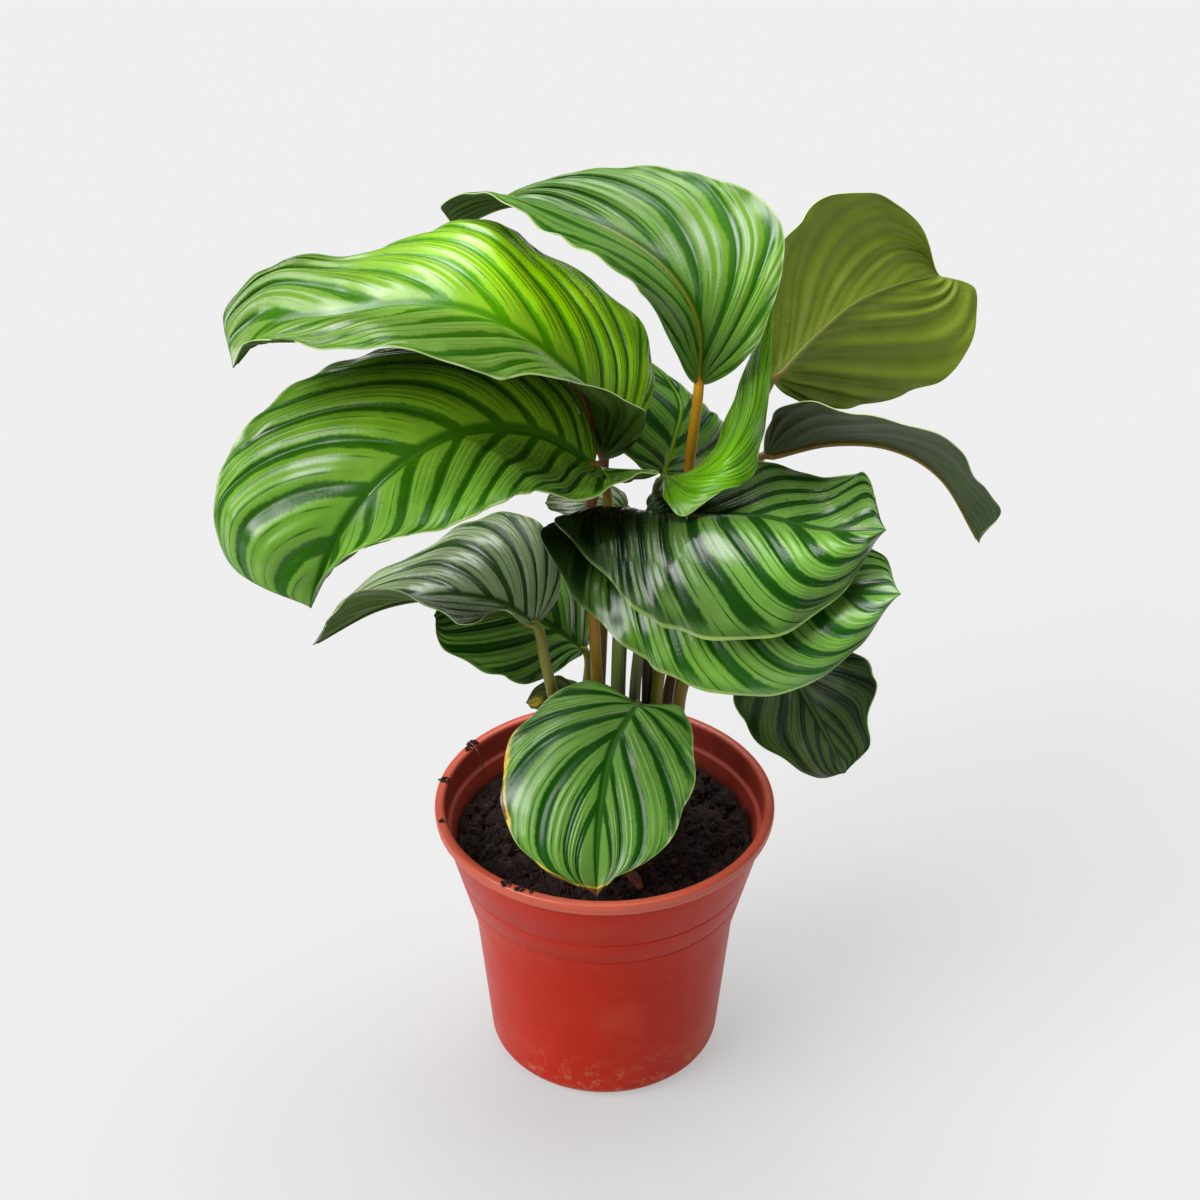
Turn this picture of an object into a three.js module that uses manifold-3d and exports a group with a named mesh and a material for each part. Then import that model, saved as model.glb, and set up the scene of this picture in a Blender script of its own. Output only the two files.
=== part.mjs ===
// A potted calathea with round, pleated leaves, in a plain nursery pot.
// Millimetres, +Z up. The origin is the centre of the pot's flat base, and the front of the plant faces -Y.
// The pot holds the soil, the leaf stalks stand in plain holes in the soil, and each leaf, its stalk and
// blade grown as one piece, is one solid.
import * as THREE from "three";
import { mergeVertices } from "three/addons/utils/BufferGeometryUtils.js";
import Module from "manifold-3d";

const wasm = await Module();
wasm.setup();

// ---- Driving dimensions ----
const GAP = 0.3; // clearance between pieces that touch
const JOIN_TOLERANCE = 0.02; // shorter edges than this are closed up where solids are joined or cut
const TURN_SEGMENTS = 40; // facets round the pot and the soil

const POT_HEIGHT = 148;
const RIM_RADIUS = 85; // a common 17 cm nursery pot
const RIM_OPENING_RADIUS = 79.5;
const RIM_DEPTH = 6.2; // height of the thick rounded lip
const LIP_EDGE = 1.2; // round along its lower edge
const LIP_ROUND = 2.6; // rounds along its top
const COLLAR_TOP_RADIUS = 82; // under the lip
const COLLAR_FOOT_RADIUS = 66;
const COLLAR_FOOT_HEIGHT = 80; // the wall flares from here up
const WALL_FOOT_RADIUS = 58.8;
const CORNER_RADIUS = 9; // round between the base and the wall
const ROUND_STEPS = 3; // facets of a quarter round
const WALL = 2.2;
const FLOOR = 3;
const LEDGE_DROP = 14; // the stacking ledge inside, below the top of the rim
const LEDGE_RADIUS = 76.8;
const LEDGE_SLOPE = 1.2; // the ledge falls by this much towards the middle
const LIP_DRAFT = 0.4; // the wall above the ledge draws in by this much
const GROOVE_HEIGHTS = [101, 115]; // two scored lines round the collar
const GROOVE_DEPTH = 0.5;
const GROOVE_HALF = 0.9; // half of a scored line's width
const DRAIN_RADIUS = 4;
const DRAIN_CIRCLE = 36;
const DRAINS = 6;
const DRAIN_SIDES = 16;

const SOIL_LEVEL = 120;
const SOIL_LUMP = 1.3;
const SOIL_HEAP = { x: 8, y: 24, height: 4, spread: 30 }; // round the stalks
const SOIL_BANK = { height: 3, power: 6 }; // up the wall
const SOIL_RINGS = 6;
const STALK_FOOT = 108; // height of the stalks' lower ends, deep in the soil
const STALK_UPRIGHT = 16; // the stretch that stands straight up
const STALK_TAPER = 0.8;
const STALK_REACH = 4; // how far the stalk runs on under the blade's midrib
const STALK_SIDES = 8;
const HOLE_SIDES = 12;
const HOLE_DEPTH = 60; // cuts past the top of the soil

const BLADE_THICKNESS = 0.7;
const MIDRIB_RIDGE = 1.7; // how far the midrib stands out under the blade at its base
const PLEAT = 0.8; // alternate lateral veins rise and sink by this much
const CUP_WIDTH = 60; // half-blade width at which a cup has its full depth
const CUP_LIMIT = 1.3;
const CUP_CHANGE = 0.4; // a cup changes from its first to its second value up to this share of the blade
const DRIP = 0.8; // draws the margins together at the tip
const ACROSS = [0, 0.07, 0.38, 0.7, 1]; // stations from the midrib to the margin
const VEIN_POWER = 1.2; // lateral veins crowd towards the base of the midrib
const VEIN_START = 0.2; // share of a vein's forward sweep that comes at once
const VEIN_SWEEP = 2.6;

// ---- The reference view ----
// The leaves are described as they are seen from one fixed eye point, in front of the plant and above it.
// A sighting [across, down, depth] is one place in space: where it is seen in a frame VIEW.frame units wide
// and high, counted from its top left corner, and its depth y in millimetres, + behind the pot's axis.
const VIEW = {
  eye: new THREE.Vector3(-2.3, -900, 820),
  pitch: 31.7, // degrees below the horizon
  focal: 2236, // frame units
  frame: 1200,
};

// ---- The leaves ----
// Each leaf has four rails of sightings, set by hand. petiole runs from the soil to just below the blade,
// midrib from the base of the blade to its tip, and right and left are the margins, from base to tip, as
// seen on the upper face with the tip pointing away. foot is the stalk's x and y in the soil, and stalk its
// radii at the foot and at the top. cup lifts (+) or sinks (-) each half blade between midrib and margin, by
// its first value at the base and its second beyond CUP_CHANGE. veins is the number of strips between
// lateral veins in each half.
const LEAVES = [
  {
    name: "leaf_top",
    veins: 13,
    cup: { left: [2, 2], right: [2, 2] },
    stalk: { foot: 3.5, top: 2.4 },
    foot: [27, 20],
    petiole: [
      [657, 690, 24], [685, 560, 36], [689, 470, 37],
    ],
    midrib: [
      [699, 385, 28], [698, 325, 34], [669, 273, 48], [621, 236, 62], [566, 214, 76], [510, 205, 86],
      [452, 231, 94],
    ],
    right: [
      [752, 352, 20], [776, 291, 30], [782, 226, 46], [733, 184, 66], [674, 171, 78], [610, 167, 86],
      [546, 180, 92], [500, 206, 102],
    ],
    left: [
      [670, 341, 8], [645, 294, -12], [603, 263, -18], [556, 237, 4], [510, 203, 50], [468, 190, 78],
      [441, 205, 88],
    ],
  },
  {
    name: "leaf_left_upper",
    veins: 15,
    cup: { left: [-5, 3], right: [4, 4] },
    stalk: { foot: 3.3, top: 2.6 },
    foot: [-3, 24],
    petiole: [
      [597, 690, 20], [593, 600, 14], [590, 512, 12],
    ],
    midrib: [
      [604, 457, 15], [584, 391, 14], [535, 345, 8], [475, 313, 2], [407, 305, -6], [340, 315, -14],
      [272, 326, -22], [233, 368, -32],
    ],
    right: [
      [648, 405, 38], [646, 338, 54], [604, 285, 68], [545, 250, 76], [484, 222, 76], [417, 235, 68],
      [354, 256, 52], [284, 261, 30], [226, 310, -5],
    ],
    left: [
      [634, 446, -2], [644, 408, -22], [598, 391, -42], [549, 376, -58], [495, 378, -68],
      [441, 360, -72], [387, 345, -70], [331, 349, -62], [280, 338, -50], [247, 342, -38],
    ],
  },
  {
    name: "leaf_left_broad",
    veins: 15,
    cup: { left: [-16, 4], right: [10, 8] },
    stalk: { foot: 3.2, top: 2.2 },
    foot: [-6, 38],
    petiole: [
      [600, 680, 31], [604, 600, 27], [609, 522, 13],
    ],
    midrib: [
      [596, 465, -3], [532, 433, -10], [456, 436, -28], [389, 476, -44], [340, 536, -55],
      [311, 608, -62],
    ],
    right: [
      [590, 438, 34], [562, 374, 52], [480, 339, 54], [393, 344, 38], [315, 374, 15], [252, 423, -10],
      [212, 494, -38], [236, 571, -55],
    ],
    left: [
      [658, 471, -6], [628, 481, -30], [586, 501, -50], [537, 491, -66], [486, 508, -84],
      [438, 529, -92], [386, 542, -90], [337, 565, -78],
    ],
  },
  {
    name: "leaf_left_grey",
    veins: 12,
    cup: { left: [0, 0], right: [2, 2] },
    stalk: { foot: 3.2, top: 2.6 },
    foot: [-20, 22],
    petiole: [
      [561, 745, 14], [554, 700, 6], [545, 662, 1],
    ],
    midrib: [
      [535, 624, 5], [497, 603, 5], [440, 596, 0], [378, 608, -8], [313, 645, -18],
    ],
    right: [
      [560, 587, 26], [550, 537, 46], [515, 512, 58], [468, 522, 56], [425, 550, 46], [380, 572, 30],
      [341, 604, 10],
    ],
    left: [
      [500, 612, -18], [465, 622, -44], [430, 610, -56], [399, 595, -58], [362, 592, -52],
      [332, 614, -36],
    ],
  },
  {
    name: "leaf_left_shaded",
    veins: 9,
    cup: { left: [0, 0], right: [4, 4] },
    stalk: { foot: 2.6, top: 2 },
    foot: [-14, 32],
    petiole: [
      [583, 745, 33], [586, 690, 38],
    ],
    midrib: [
      [585, 650, 44], [545, 622, 38], [505, 604, 30], [465, 600, 22], [434, 616, 12],
    ],
    right: [
      [596, 618, 66], [586, 572, 78], [535, 552, 82], [480, 560, 64], [448, 588, 37],
    ],
    left: [
      [570, 662, 28], [532, 684, 6], [490, 674, -8], [452, 655, -8], [437, 634, 0],
    ],
  },
  {
    name: "leaf_front",
    veins: 10,
    cup: { left: [0, 0], right: [5, 5] },
    stalk: { foot: 2.8, top: 2.2 },
    foot: [14, 6],
    petiole: [
      [636, 770, 4],
    ],
    midrib: [
      [638, 703, -5], [613, 746, -20], [602, 797, -38], [597, 848, -53], [597, 897, -64],
    ],
    right: [
      [592, 680, -2], [547, 701, -5], [512, 737, -14], [501, 788, -32], [513, 838, -49],
      [536, 863, -57], [568, 882, -63],
    ],
    left: [
      [681, 708, -5], [694, 751, -20], [689, 798, -36], [671, 838, -50], [645, 864, -58],
      [613, 881, -63],
    ],
  },
  {
    name: "leaf_small_back",
    veins: 6,
    cup: { left: [0, 0], right: [2, 2] },
    stalk: { foot: 2, top: 1.5 },
    foot: [-13, 50],
    petiole: [
      [580, 745, 48],
    ],
    midrib: [
      [580, 708, 46], [568, 698, 44], [553, 692, 41], [539, 695, 38], [526, 703, 36],
    ],
    right: [
      [584, 690, 56], [568, 679, 56], [550, 679, 50], [535, 688, 42],
    ],
    left: [
      [572, 716, 36], [558, 716, 32], [544, 712, 32], [532, 708, 34],
    ],
  },
  {
    name: "leaf_right_broad",
    veins: 13,
    cup: { left: [6, 0], right: [4, 14] },
    stalk: { foot: 3.3, top: 2.6 },
    foot: [7, 20],
    petiole: [
      [617, 685, 17], [621, 600, 17], [631, 545, 16],
    ],
    midrib: [
      [640, 515, 0], [702, 514, 0], [764, 517, -5], [826, 530, -10], [886, 530, -16],
    ],
    right: [
      [556, 518, -20], [597, 567, -44], [647, 618, -60], [715, 638, -66], [787, 632, -62],
      [845, 590, -42],
    ],
    left: [
      [655, 496, 14], [718, 480, 38], [768, 462, 50], [822, 478, 40], [866, 474, 14],
    ],
  },
  {
    name: "leaf_right_under",
    veins: 13,
    cup: { left: [0, 0], right: [8, 10] },
    stalk: { foot: 3.2, top: 2.5 },
    foot: [15, 16],
    petiole: [
      [635, 690, 14], [647, 600, 17],
    ],
    midrib: [
      [655, 562, 1], [716, 563, -6], [778, 578, -18], [840, 590, -27], [901, 594, -30],
    ],
    right: [
      [545, 527, -12], [571, 592, -28], [617, 639, -42], [672, 678, -56], [738, 697, -64],
      [804, 685, -62], [858, 647, -50],
    ],
    left: [
      [682, 540, 22], [728, 530, 36], [778, 527, 40], [840, 533, 24], [884, 556, -2],
    ],
  },
  {
    name: "leaf_right_hanging",
    veins: 9,
    cup: { left: [0, 0], right: [4, 4] },
    stalk: { foot: 3.4, top: 2 },
    foot: [37, 22],
    petiole: [
      [681, 695, 28], [712, 640, 33], [750, 618, 31],
    ],
    midrib: [
      [772, 640, 25], [796, 682, 12], [817, 718, 2], [833, 748, -4], [845, 773, -8],
    ],
    right: [
      [742, 655, 30], [735, 690, 22], [748, 730, 12], [783, 758, 4], [816, 779, -4],
    ],
    left: [
      [815, 640, 15], [858, 655, 2], [876, 680, -6], [869, 713, -11], [870, 746, -12],
    ],
  },
  {
    name: "leaf_right_raised",
    veins: 13,
    cup: { left: [0, 0], right: [6, 6] },
    stalk: { foot: 3.4, top: 2.2 },
    foot: [31, 30],
    petiole: [
      [669, 690, 34], [705, 570, 54], [735, 470, 60],
    ],
    midrib: [
      [772, 379, 52], [812, 338, 76], [853, 304, 102], [900, 284, 127], [940, 276, 150],
    ],
    right: [
      [769, 327, 62], [776, 276, 78], [793, 227, 96], [832, 196, 114], [882, 195, 130],
      [922, 228, 142],
    ],
    left: [
      [803, 403, 68], [844, 407, 84], [884, 401, 100], [922, 387, 116], [958, 365, 128],
      [975, 329, 140], [975, 288, 148],
    ],
  },
  {
    name: "leaf_right_drooping",
    veins: 12,
    cup: { left: [0, 0], right: [2, 2] },
    stalk: { foot: 3.2, top: 2.2 },
    foot: [33, 42],
    petiole: [
      [675, 690, 52], [712, 570, 66], [748, 480, 70],
    ],
    midrib: [
      [765, 455, 66], [830, 441, 66], [893, 447, 62], [943, 479, 56], [979, 543, 46],
    ],
    right: [
      [774, 411, 56], [816, 401, 42], [858, 417, 32], [903, 424, 26], [945, 440, 26], [974, 474, 32],
      [1001, 511, 42],
    ],
    left: [
      [790, 416, 86], [842, 422, 100], [900, 433, 104], [950, 460, 94], [985, 505, 72],
    ],
  },
  {
    name: "leaf_centre_back",
    veins: 9,
    cup: { left: [0, 0], right: [4, 4] },
    stalk: { foot: 3, top: 1.8 },
    foot: [22, 38],
    petiole: [
      [650, 690, 40], [658, 570, 42],
    ],
    midrib: [
      [664, 474, 38], [675, 437, 50], [681, 405, 64], [668, 380, 80], [645, 358, 94],
    ],
    right: [
      [688, 478, 48], [715, 460, 62], [726, 425, 74], [708, 414, 86], [676, 388, 92],
    ],
    left: [
      [640, 468, 30], [618, 445, 30], [608, 415, 40], [612, 385, 56], [628, 365, 76],
    ],
  },
  {
    name: "leaf_young_rolled",
    veins: 12,
    cup: { left: [0, 0], right: [4, 4] },
    stalk: { foot: 3.4, top: 1.8 },
    foot: [21, 26],
    petiole: [
      [647, 690, 27], [648, 570, 26], [655, 500, 22],
    ],
    midrib: [
      [665, 477, 14], [718, 466, 8], [752, 412, 18], [761, 345, 36], [778, 254, 54],
    ],
    right: [
      [667, 502, -14], [686, 514, -22], [718, 494, -10], [749, 475, 10], [763, 441, 20],
      [769, 404, 28], [771, 367, 36], [768, 329, 44], [773, 293, 52],
    ],
    left: [
      [690, 474, 22], [716, 445, 28], [734, 409, 34], [744, 370, 40], [761, 334, 46], [772, 293, 54],
    ],
  },
  {
    name: "leaf_young_left",
    veins: 6,
    cup: { left: [0, 0], right: [2, 2] },
    stalk: { foot: 2.2, top: 1.5 },
    foot: [9, 34],
    petiole: [
      [622, 690, 40], [626, 600, 50],
    ],
    midrib: [
      [628, 508, 56], [608, 503, 54], [585, 502, 51], [565, 503, 48], [545, 503, 46],
    ],
    right: [
      [622, 492, 66], [600, 490, 68], [574, 491, 62], [552, 494, 53],
    ],
    left: [
      [616, 521, 44], [597, 521, 40], [573, 518, 40], [551, 511, 43],
    ],
  },
];

const WELD = 1e-4; // points closer than this are one point
const NUDGE = 1e-3; // a small step along a rail

const COLOURS = {
  pot: { color: 0xb43d26, roughness: 0.5 },
  soil: { color: 0x241a15, roughness: 1 },
  leaf: { color: 0x3f8a3c, roughness: 0.4 },
};

// ---- Small helpers ----
const point = ([x, y, z]) => new THREE.Vector3(x, y, z);

/** The place that a sighting names. */
function sight([across, down, depth]) {
  const pitch = THREE.MathUtils.degToRad(VIEW.pitch);
  const rise = VIEW.frame / 2 - down;
  const ray = new THREE.Vector3(
    across - VIEW.frame / 2,
    VIEW.focal * Math.cos(pitch) + rise * Math.sin(pitch),
    rise * Math.cos(pitch) - VIEW.focal * Math.sin(pitch),
  );
  return VIEW.eye.clone().addScaledVector(ray, (depth - VIEW.eye.y) / ray.y);
}

/** Where a stalk goes: up out of its hole in the soil, then along its sightings. */
const stalkRoute = ({ foot: [x, y], petiole }) => [
  point([x, y, STALK_FOOT]), point([x, y, STALK_FOOT + STALK_UPRIGHT]), ...petiole.map(sight),
];

/** A flat list of positions and an index as a closed geometry. */
function solidGeometry(positions, index) {
  const geometry = new THREE.BufferGeometry();
  geometry.setAttribute("position", new THREE.BufferAttribute(new Float32Array(positions), 3));
  geometry.setIndex(index);
  return geometry;
}

/** A closed geometry as a manifold solid. */
function toSolid(geometry) {
  const bare = geometry.clone();
  bare.deleteAttribute("normal");
  bare.deleteAttribute("uv");
  const merged = mergeVertices(bare, WELD);
  const mesh = new wasm.Mesh({
    numProp: 3,
    vertProperties: new Float32Array(merged.attributes.position.array),
    triVerts: new Uint32Array(merged.index.array),
    tolerance: JOIN_TOLERANCE,
  });
  return new wasm.Manifold(mesh);
}

/** A manifold solid back as a geometry. */
function toGeometry(solid) {
  const mesh = solid.getMesh();
  return solidGeometry(mesh.vertProperties, new THREE.BufferAttribute(new Uint32Array(mesh.triVerts), 1));
}

/** One named piece of the plant. */
function piece(name, geometry, finish) {
  geometry.computeVertexNormals();
  const mesh = new THREE.Mesh(geometry, new THREE.MeshStandardMaterial({ metalness: 0, ...finish }));
  mesh.name = name;
  return mesh;
}

/** A smooth rail through the inner points; the first and last points only steer its ends. */
function rail(points) {
  const spans = points.length - 3;
  return (t) => {
    const place = Math.min(Math.max(t, 0), 1) * spans;
    const span = Math.min(Math.floor(place), spans - 1);
    const f = place - span;
    const [a, b, c, d] = points.slice(span, span + 4);
    const blend = (p, q, r, s) => 0.5 * (2 * q + (r - p) * f
      + (2 * p - 5 * q + 4 * r - s) * f * f + (3 * q - p - 3 * r + s) * f * f * f);
    return new THREE.Vector3(blend(a.x, b.x, c.x, d.x), blend(a.y, b.y, c.y, d.y), blend(a.z, b.z, c.z, d.z));
  };
}

/** The point as far beyond end as from lies before it. */
const beyond = (end, from, reach = 1) => end.clone().addScaledVector(end.clone().sub(from), reach);

// ---- Pot and soil ----
/** Outer radius of the pot's wall at a height. */
function wallRadius(z) {
  if (z < COLLAR_FOOT_HEIGHT) {
    return THREE.MathUtils.lerp(WALL_FOOT_RADIUS, COLLAR_FOOT_RADIUS, z / COLLAR_FOOT_HEIGHT);
  }
  const rise = (z - COLLAR_FOOT_HEIGHT) / (POT_HEIGHT - RIM_DEPTH - COLLAR_FOOT_HEIGHT);
  return THREE.MathUtils.lerp(COLLAR_FOOT_RADIUS, COLLAR_TOP_RADIUS, rise);
}

/** A quarter round in a profile: points round a centre, from a start angle in quarter turns. */
function quarter([r, z], radius, start) {
  return Array.from({ length: ROUND_STEPS + 1 }, (_, step) => {
    const turn = (start + step / ROUND_STEPS) * (Math.PI / 2);
    return [r + radius * Math.cos(turn), z + radius * Math.sin(turn)];
  });
}

/** The round between the flat base and the wall, set in from it by inset. */
function baseRound(inset, floor) {
  const radius = CORNER_RADIUS - inset;
  return quarter([wallRadius(CORNER_RADIUS) - CORNER_RADIUS, floor + radius], radius, -1);
}

function potGeometry() {
  const lipFoot = POT_HEIGHT - RIM_DEPTH;
  const ledge = POT_HEIGHT - LEDGE_DROP;
  const grooves = GROOVE_HEIGHTS.flatMap((z) => [
    [wallRadius(z - GROOVE_HALF), z - GROOVE_HALF],
    [wallRadius(z) - GROOVE_DEPTH, z],
    [wallRadius(z + GROOVE_HALF), z + GROOVE_HALF],
  ]);
  const outside = [
    [0, 0], ...baseRound(0, 0), [COLLAR_FOOT_RADIUS, COLLAR_FOOT_HEIGHT], ...grooves,
    [COLLAR_TOP_RADIUS, lipFoot],
  ];
  const lip = [
    ...quarter([RIM_RADIUS - LIP_EDGE, lipFoot + LIP_EDGE], LIP_EDGE, -1),
    ...quarter([RIM_RADIUS - LIP_ROUND, POT_HEIGHT - LIP_ROUND], LIP_ROUND, 0),
    ...quarter([RIM_OPENING_RADIUS + LIP_ROUND, POT_HEIGHT - LIP_ROUND], LIP_ROUND, 1),
  ];
  const inside = [
    [RIM_OPENING_RADIUS - LIP_DRAFT, ledge + LEDGE_SLOPE], [LEDGE_RADIUS, ledge],
    ...[GROOVE_HEIGHTS[1], COLLAR_FOOT_HEIGHT].map((z) => [wallRadius(z) - WALL, z]),
    ...baseRound(WALL, FLOOR).reverse(), [0, FLOOR],
  ];
  const profile = [...outside, ...lip, ...inside].map(([r, z]) => new THREE.Vector2(r, z));
  const shell = new THREE.LatheGeometry(profile, TURN_SEGMENTS).rotateX(Math.PI / 2);
  let solid = toSolid(shell);
  for (let hole = 0; hole < DRAINS; hole += 1) {
    const turn = (hole / DRAINS) * 2 * Math.PI;
    const drill = new THREE.CylinderGeometry(DRAIN_RADIUS, DRAIN_RADIUS, 4 * FLOOR, DRAIN_SIDES);
    drill.rotateX(Math.PI / 2);
    drill.translate(DRAIN_CIRCLE * Math.cos(turn), DRAIN_CIRCLE * Math.sin(turn), 0);
    solid = solid.subtract(toSolid(drill));
  }
  return toGeometry(solid);
}

/** Height of the soil: lumpy, heaped round the stalks and banked up the wall. */
function soilHeight(x, y) {
  const lumps = Math.sin(x / 4.8 + 1.3) * Math.cos(y / 5.9 + 0.4) + 0.6 * Math.sin(x / 9.1 - y / 3.8 + 2.1);
  const away = Math.hypot(x - SOIL_HEAP.x, y - SOIL_HEAP.y) / SOIL_HEAP.spread;
  const heap = SOIL_HEAP.height * Math.exp(-(away ** 2));
  const bank = SOIL_BANK.height * (Math.hypot(x, y) / RIM_OPENING_RADIUS) ** SOIL_BANK.power;
  return SOIL_LEVEL + SOIL_LUMP * lumps + heap + bank;
}

function soilGeometry() {
  const profile = [
    ...baseRound(WALL + GAP, FLOOR + GAP),
    ...[COLLAR_FOOT_HEIGHT, GROOVE_HEIGHTS[1]].map((z) => [wallRadius(z) - WALL - GAP, z]),
  ];
  const edge = wallRadius(SOIL_LEVEL) - WALL - 2 * GAP;
  const positions = [0, 0, profile[0][1]];
  const index = [];
  const rings = [];
  const addRing = (radius, height) => {
    rings.push(positions.length / 3);
    for (let k = 0; k < TURN_SEGMENTS; k += 1) {
      const turn = (k / TURN_SEGMENTS) * 2 * Math.PI;
      const [x, y] = [radius * Math.cos(turn), radius * Math.sin(turn)];
      positions.push(x, y, height(x, y));
    }
  };
  profile.forEach(([radius, z]) => addRing(radius, () => z));
  for (let ring = SOIL_RINGS; ring > 0; ring -= 1) addRing((edge * ring) / SOIL_RINGS, soilHeight);
  const top = positions.length / 3;
  positions.push(0, 0, soilHeight(0, 0));
  for (let k = 0; k < TURN_SEGMENTS; k += 1) {
    const next = (k + 1) % TURN_SEGMENTS;
    index.push(0, rings[0] + next, rings[0] + k);
    for (let r = 1; r < rings.length; r += 1) {
      const [low, high] = [rings[r - 1], rings[r]];
      index.push(low + k, low + next, high + next, low + k, high + next, high + k);
    }
    const last = rings[rings.length - 1];
    index.push(last + k, last + next, top);
  }
  let solid = toSolid(solidGeometry(positions, index));
  for (const leaf of LEAVES) {
    const [x, y] = leaf.foot;
    const radius = (leaf.stalk.foot + GAP) / Math.cos(Math.PI / HOLE_SIDES);
    const drill = new THREE.CylinderGeometry(radius, radius, HOLE_DEPTH, HOLE_SIDES).rotateX(Math.PI / 2);
    drill.translate(x, y, STALK_FOOT - GAP + HOLE_DEPTH / 2);
    solid = solid.subtract(toSolid(drill));
  }
  return toGeometry(solid);
}

// ---- Leaves ----
/** The blade's surface: a function of the place along (0 base, 1 tip) and across (-1 left, 1 right). */
function bladeSurface({ midrib, right, left, cup }) {
  const rib = midrib.map(sight);
  const [base, tip] = [rib[0], rib[rib.length - 1]];
  const [rights, lefts] = [right.map(sight), left.map(sight)];
  const drip = beyond(tip, rib[rib.length - 2], DRIP);
  const middle = rail([beyond(base, rib[1]), ...rib, beyond(tip, rib[rib.length - 2])]);
  const edges = {
    right: rail([lefts[0], base, ...rights, tip, drip]),
    left: rail([rights[0], base, ...lefts, tip, drip]),
  };
  return (along, across) => {
    const side = across < 0 ? "left" : "right";
    const centre = middle(along);
    const margin = edges[side](Math.acos(THREE.MathUtils.clamp(1 - 2 * along, -1, 1)) / Math.PI);
    const out = margin.sub(centre);
    const forward = middle(Math.min(along + NUDGE, 1)).sub(middle(Math.max(along - NUDGE, 0)));
    const up = out.clone().cross(forward).multiplyScalar(across < 0 ? -1 : 1).normalize();
    const reach = Math.abs(across);
    const lift = THREE.MathUtils.lerp(...cup[side], Math.min(along / CUP_CHANGE, 1));
    const depth = lift * Math.min(out.length() / CUP_WIDTH, CUP_LIMIT) * 4 * reach * (1 - reach);
    return centre.addScaledVector(out, reach).addScaledVector(up, depth);
  };
}

/** Where a lateral vein runs: it leaves the midrib, then sweeps forward to the margin. */
function veinAlong(order, reach) {
  const start = Math.pow(order, VEIN_POWER);
  const end = (1 - Math.cos(Math.PI * order)) / 2;
  return start + (end - start) * (VEIN_START * reach + (1 - VEIN_START) * Math.pow(reach, VEIN_SWEEP));
}

/** Middle surface of a blade: base, tip, the midrib's points, then each half's vein stations. */
function bladeSheet(leaf) {
  const surface = bladeSurface(leaf);
  const points = [surface(0, 0), surface(1, 0)];
  const pleats = [0, 0];
  const ridges = [1, 0];
  const grid = { left: [], right: [] };
  for (let vein = 1; vein < leaf.veins; vein += 1) {
    const order = vein / leaf.veins;
    const shared = points.length;
    points.push(surface(veinAlong(order, 0), 0));
    pleats.push(0);
    ridges.push(1 - veinAlong(order, 0));
    for (const [side, sign] of [["left", -1], ["right", 1]]) {
      grid[side].push(ACROSS.map((reach, station) => {
        if (station === 0) return shared;
        points.push(surface(veinAlong(order, reach), sign * reach));
        pleats.push(PLEAT * (vein % 2 ? -1 : 1) * Math.sin(Math.PI * reach));
        ridges.push(0);
        return points.length - 1;
      }));
    }
  }
  const triangles = [];
  const edge = {};
  for (const [side, flip] of [["right", false], ["left", true]]) {
    const lines = [ACROSS.map(() => 0), ...grid[side], ACROSS.map(() => 1)];
    for (let line = 1; line < lines.length; line += 1) {
      for (let s = 1; s < ACROSS.length; s += 1) {
        const [a, b, c, d] = [lines[line - 1][s - 1], lines[line - 1][s], lines[line][s], lines[line][s - 1]];
        for (const face of [[a, b, c], [a, c, d]]) {
          if (new Set(face).size === 3) triangles.push(flip ? [face[0], face[2], face[1]] : face);
        }
      }
    }
    edge[side] = lines.map((stations) => stations[ACROSS.length - 1]);
  }
  const rim = [...edge.right, ...edge.left.slice(1, -1).reverse()];
  return { points, pleats, ridges, triangles, rim };
}

/** The blade as a thin closed solid, triangles alike on both faces, its midrib ridged underneath. */
function bladeGeometry(leaf) {
  const { points, pleats, ridges, triangles, rim } = bladeSheet(leaf);
  const normals = points.map(() => new THREE.Vector3());
  for (const [a, b, c] of triangles) {
    const normal = points[b].clone().sub(points[a]).cross(points[c].clone().sub(points[a]));
    [a, b, c].forEach((corner) => normals[corner].add(normal));
  }
  const positions = [];
  const face = (sign) => points.forEach((place, k) => {
    const ridge = sign < 0 ? MIDRIB_RIDGE * ridges[k] : 0;
    const shift = pleats[k] + sign * (BLADE_THICKNESS / 2 + ridge);
    positions.push(...place.clone().addScaledVector(normals[k].clone().normalize(), shift).toArray());
  });
  face(1);
  face(-1);
  const index = [];
  const count = points.length;
  for (const [a, b, c] of triangles) index.push(a, b, c, a + count, c + count, b + count);
  rim.forEach((here, k) => {
    const next = rim[(k + 1) % rim.length];
    index.push(here, next + count, next, here, here + count, next + count);
  });
  return solidGeometry(positions, index);
}

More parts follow.
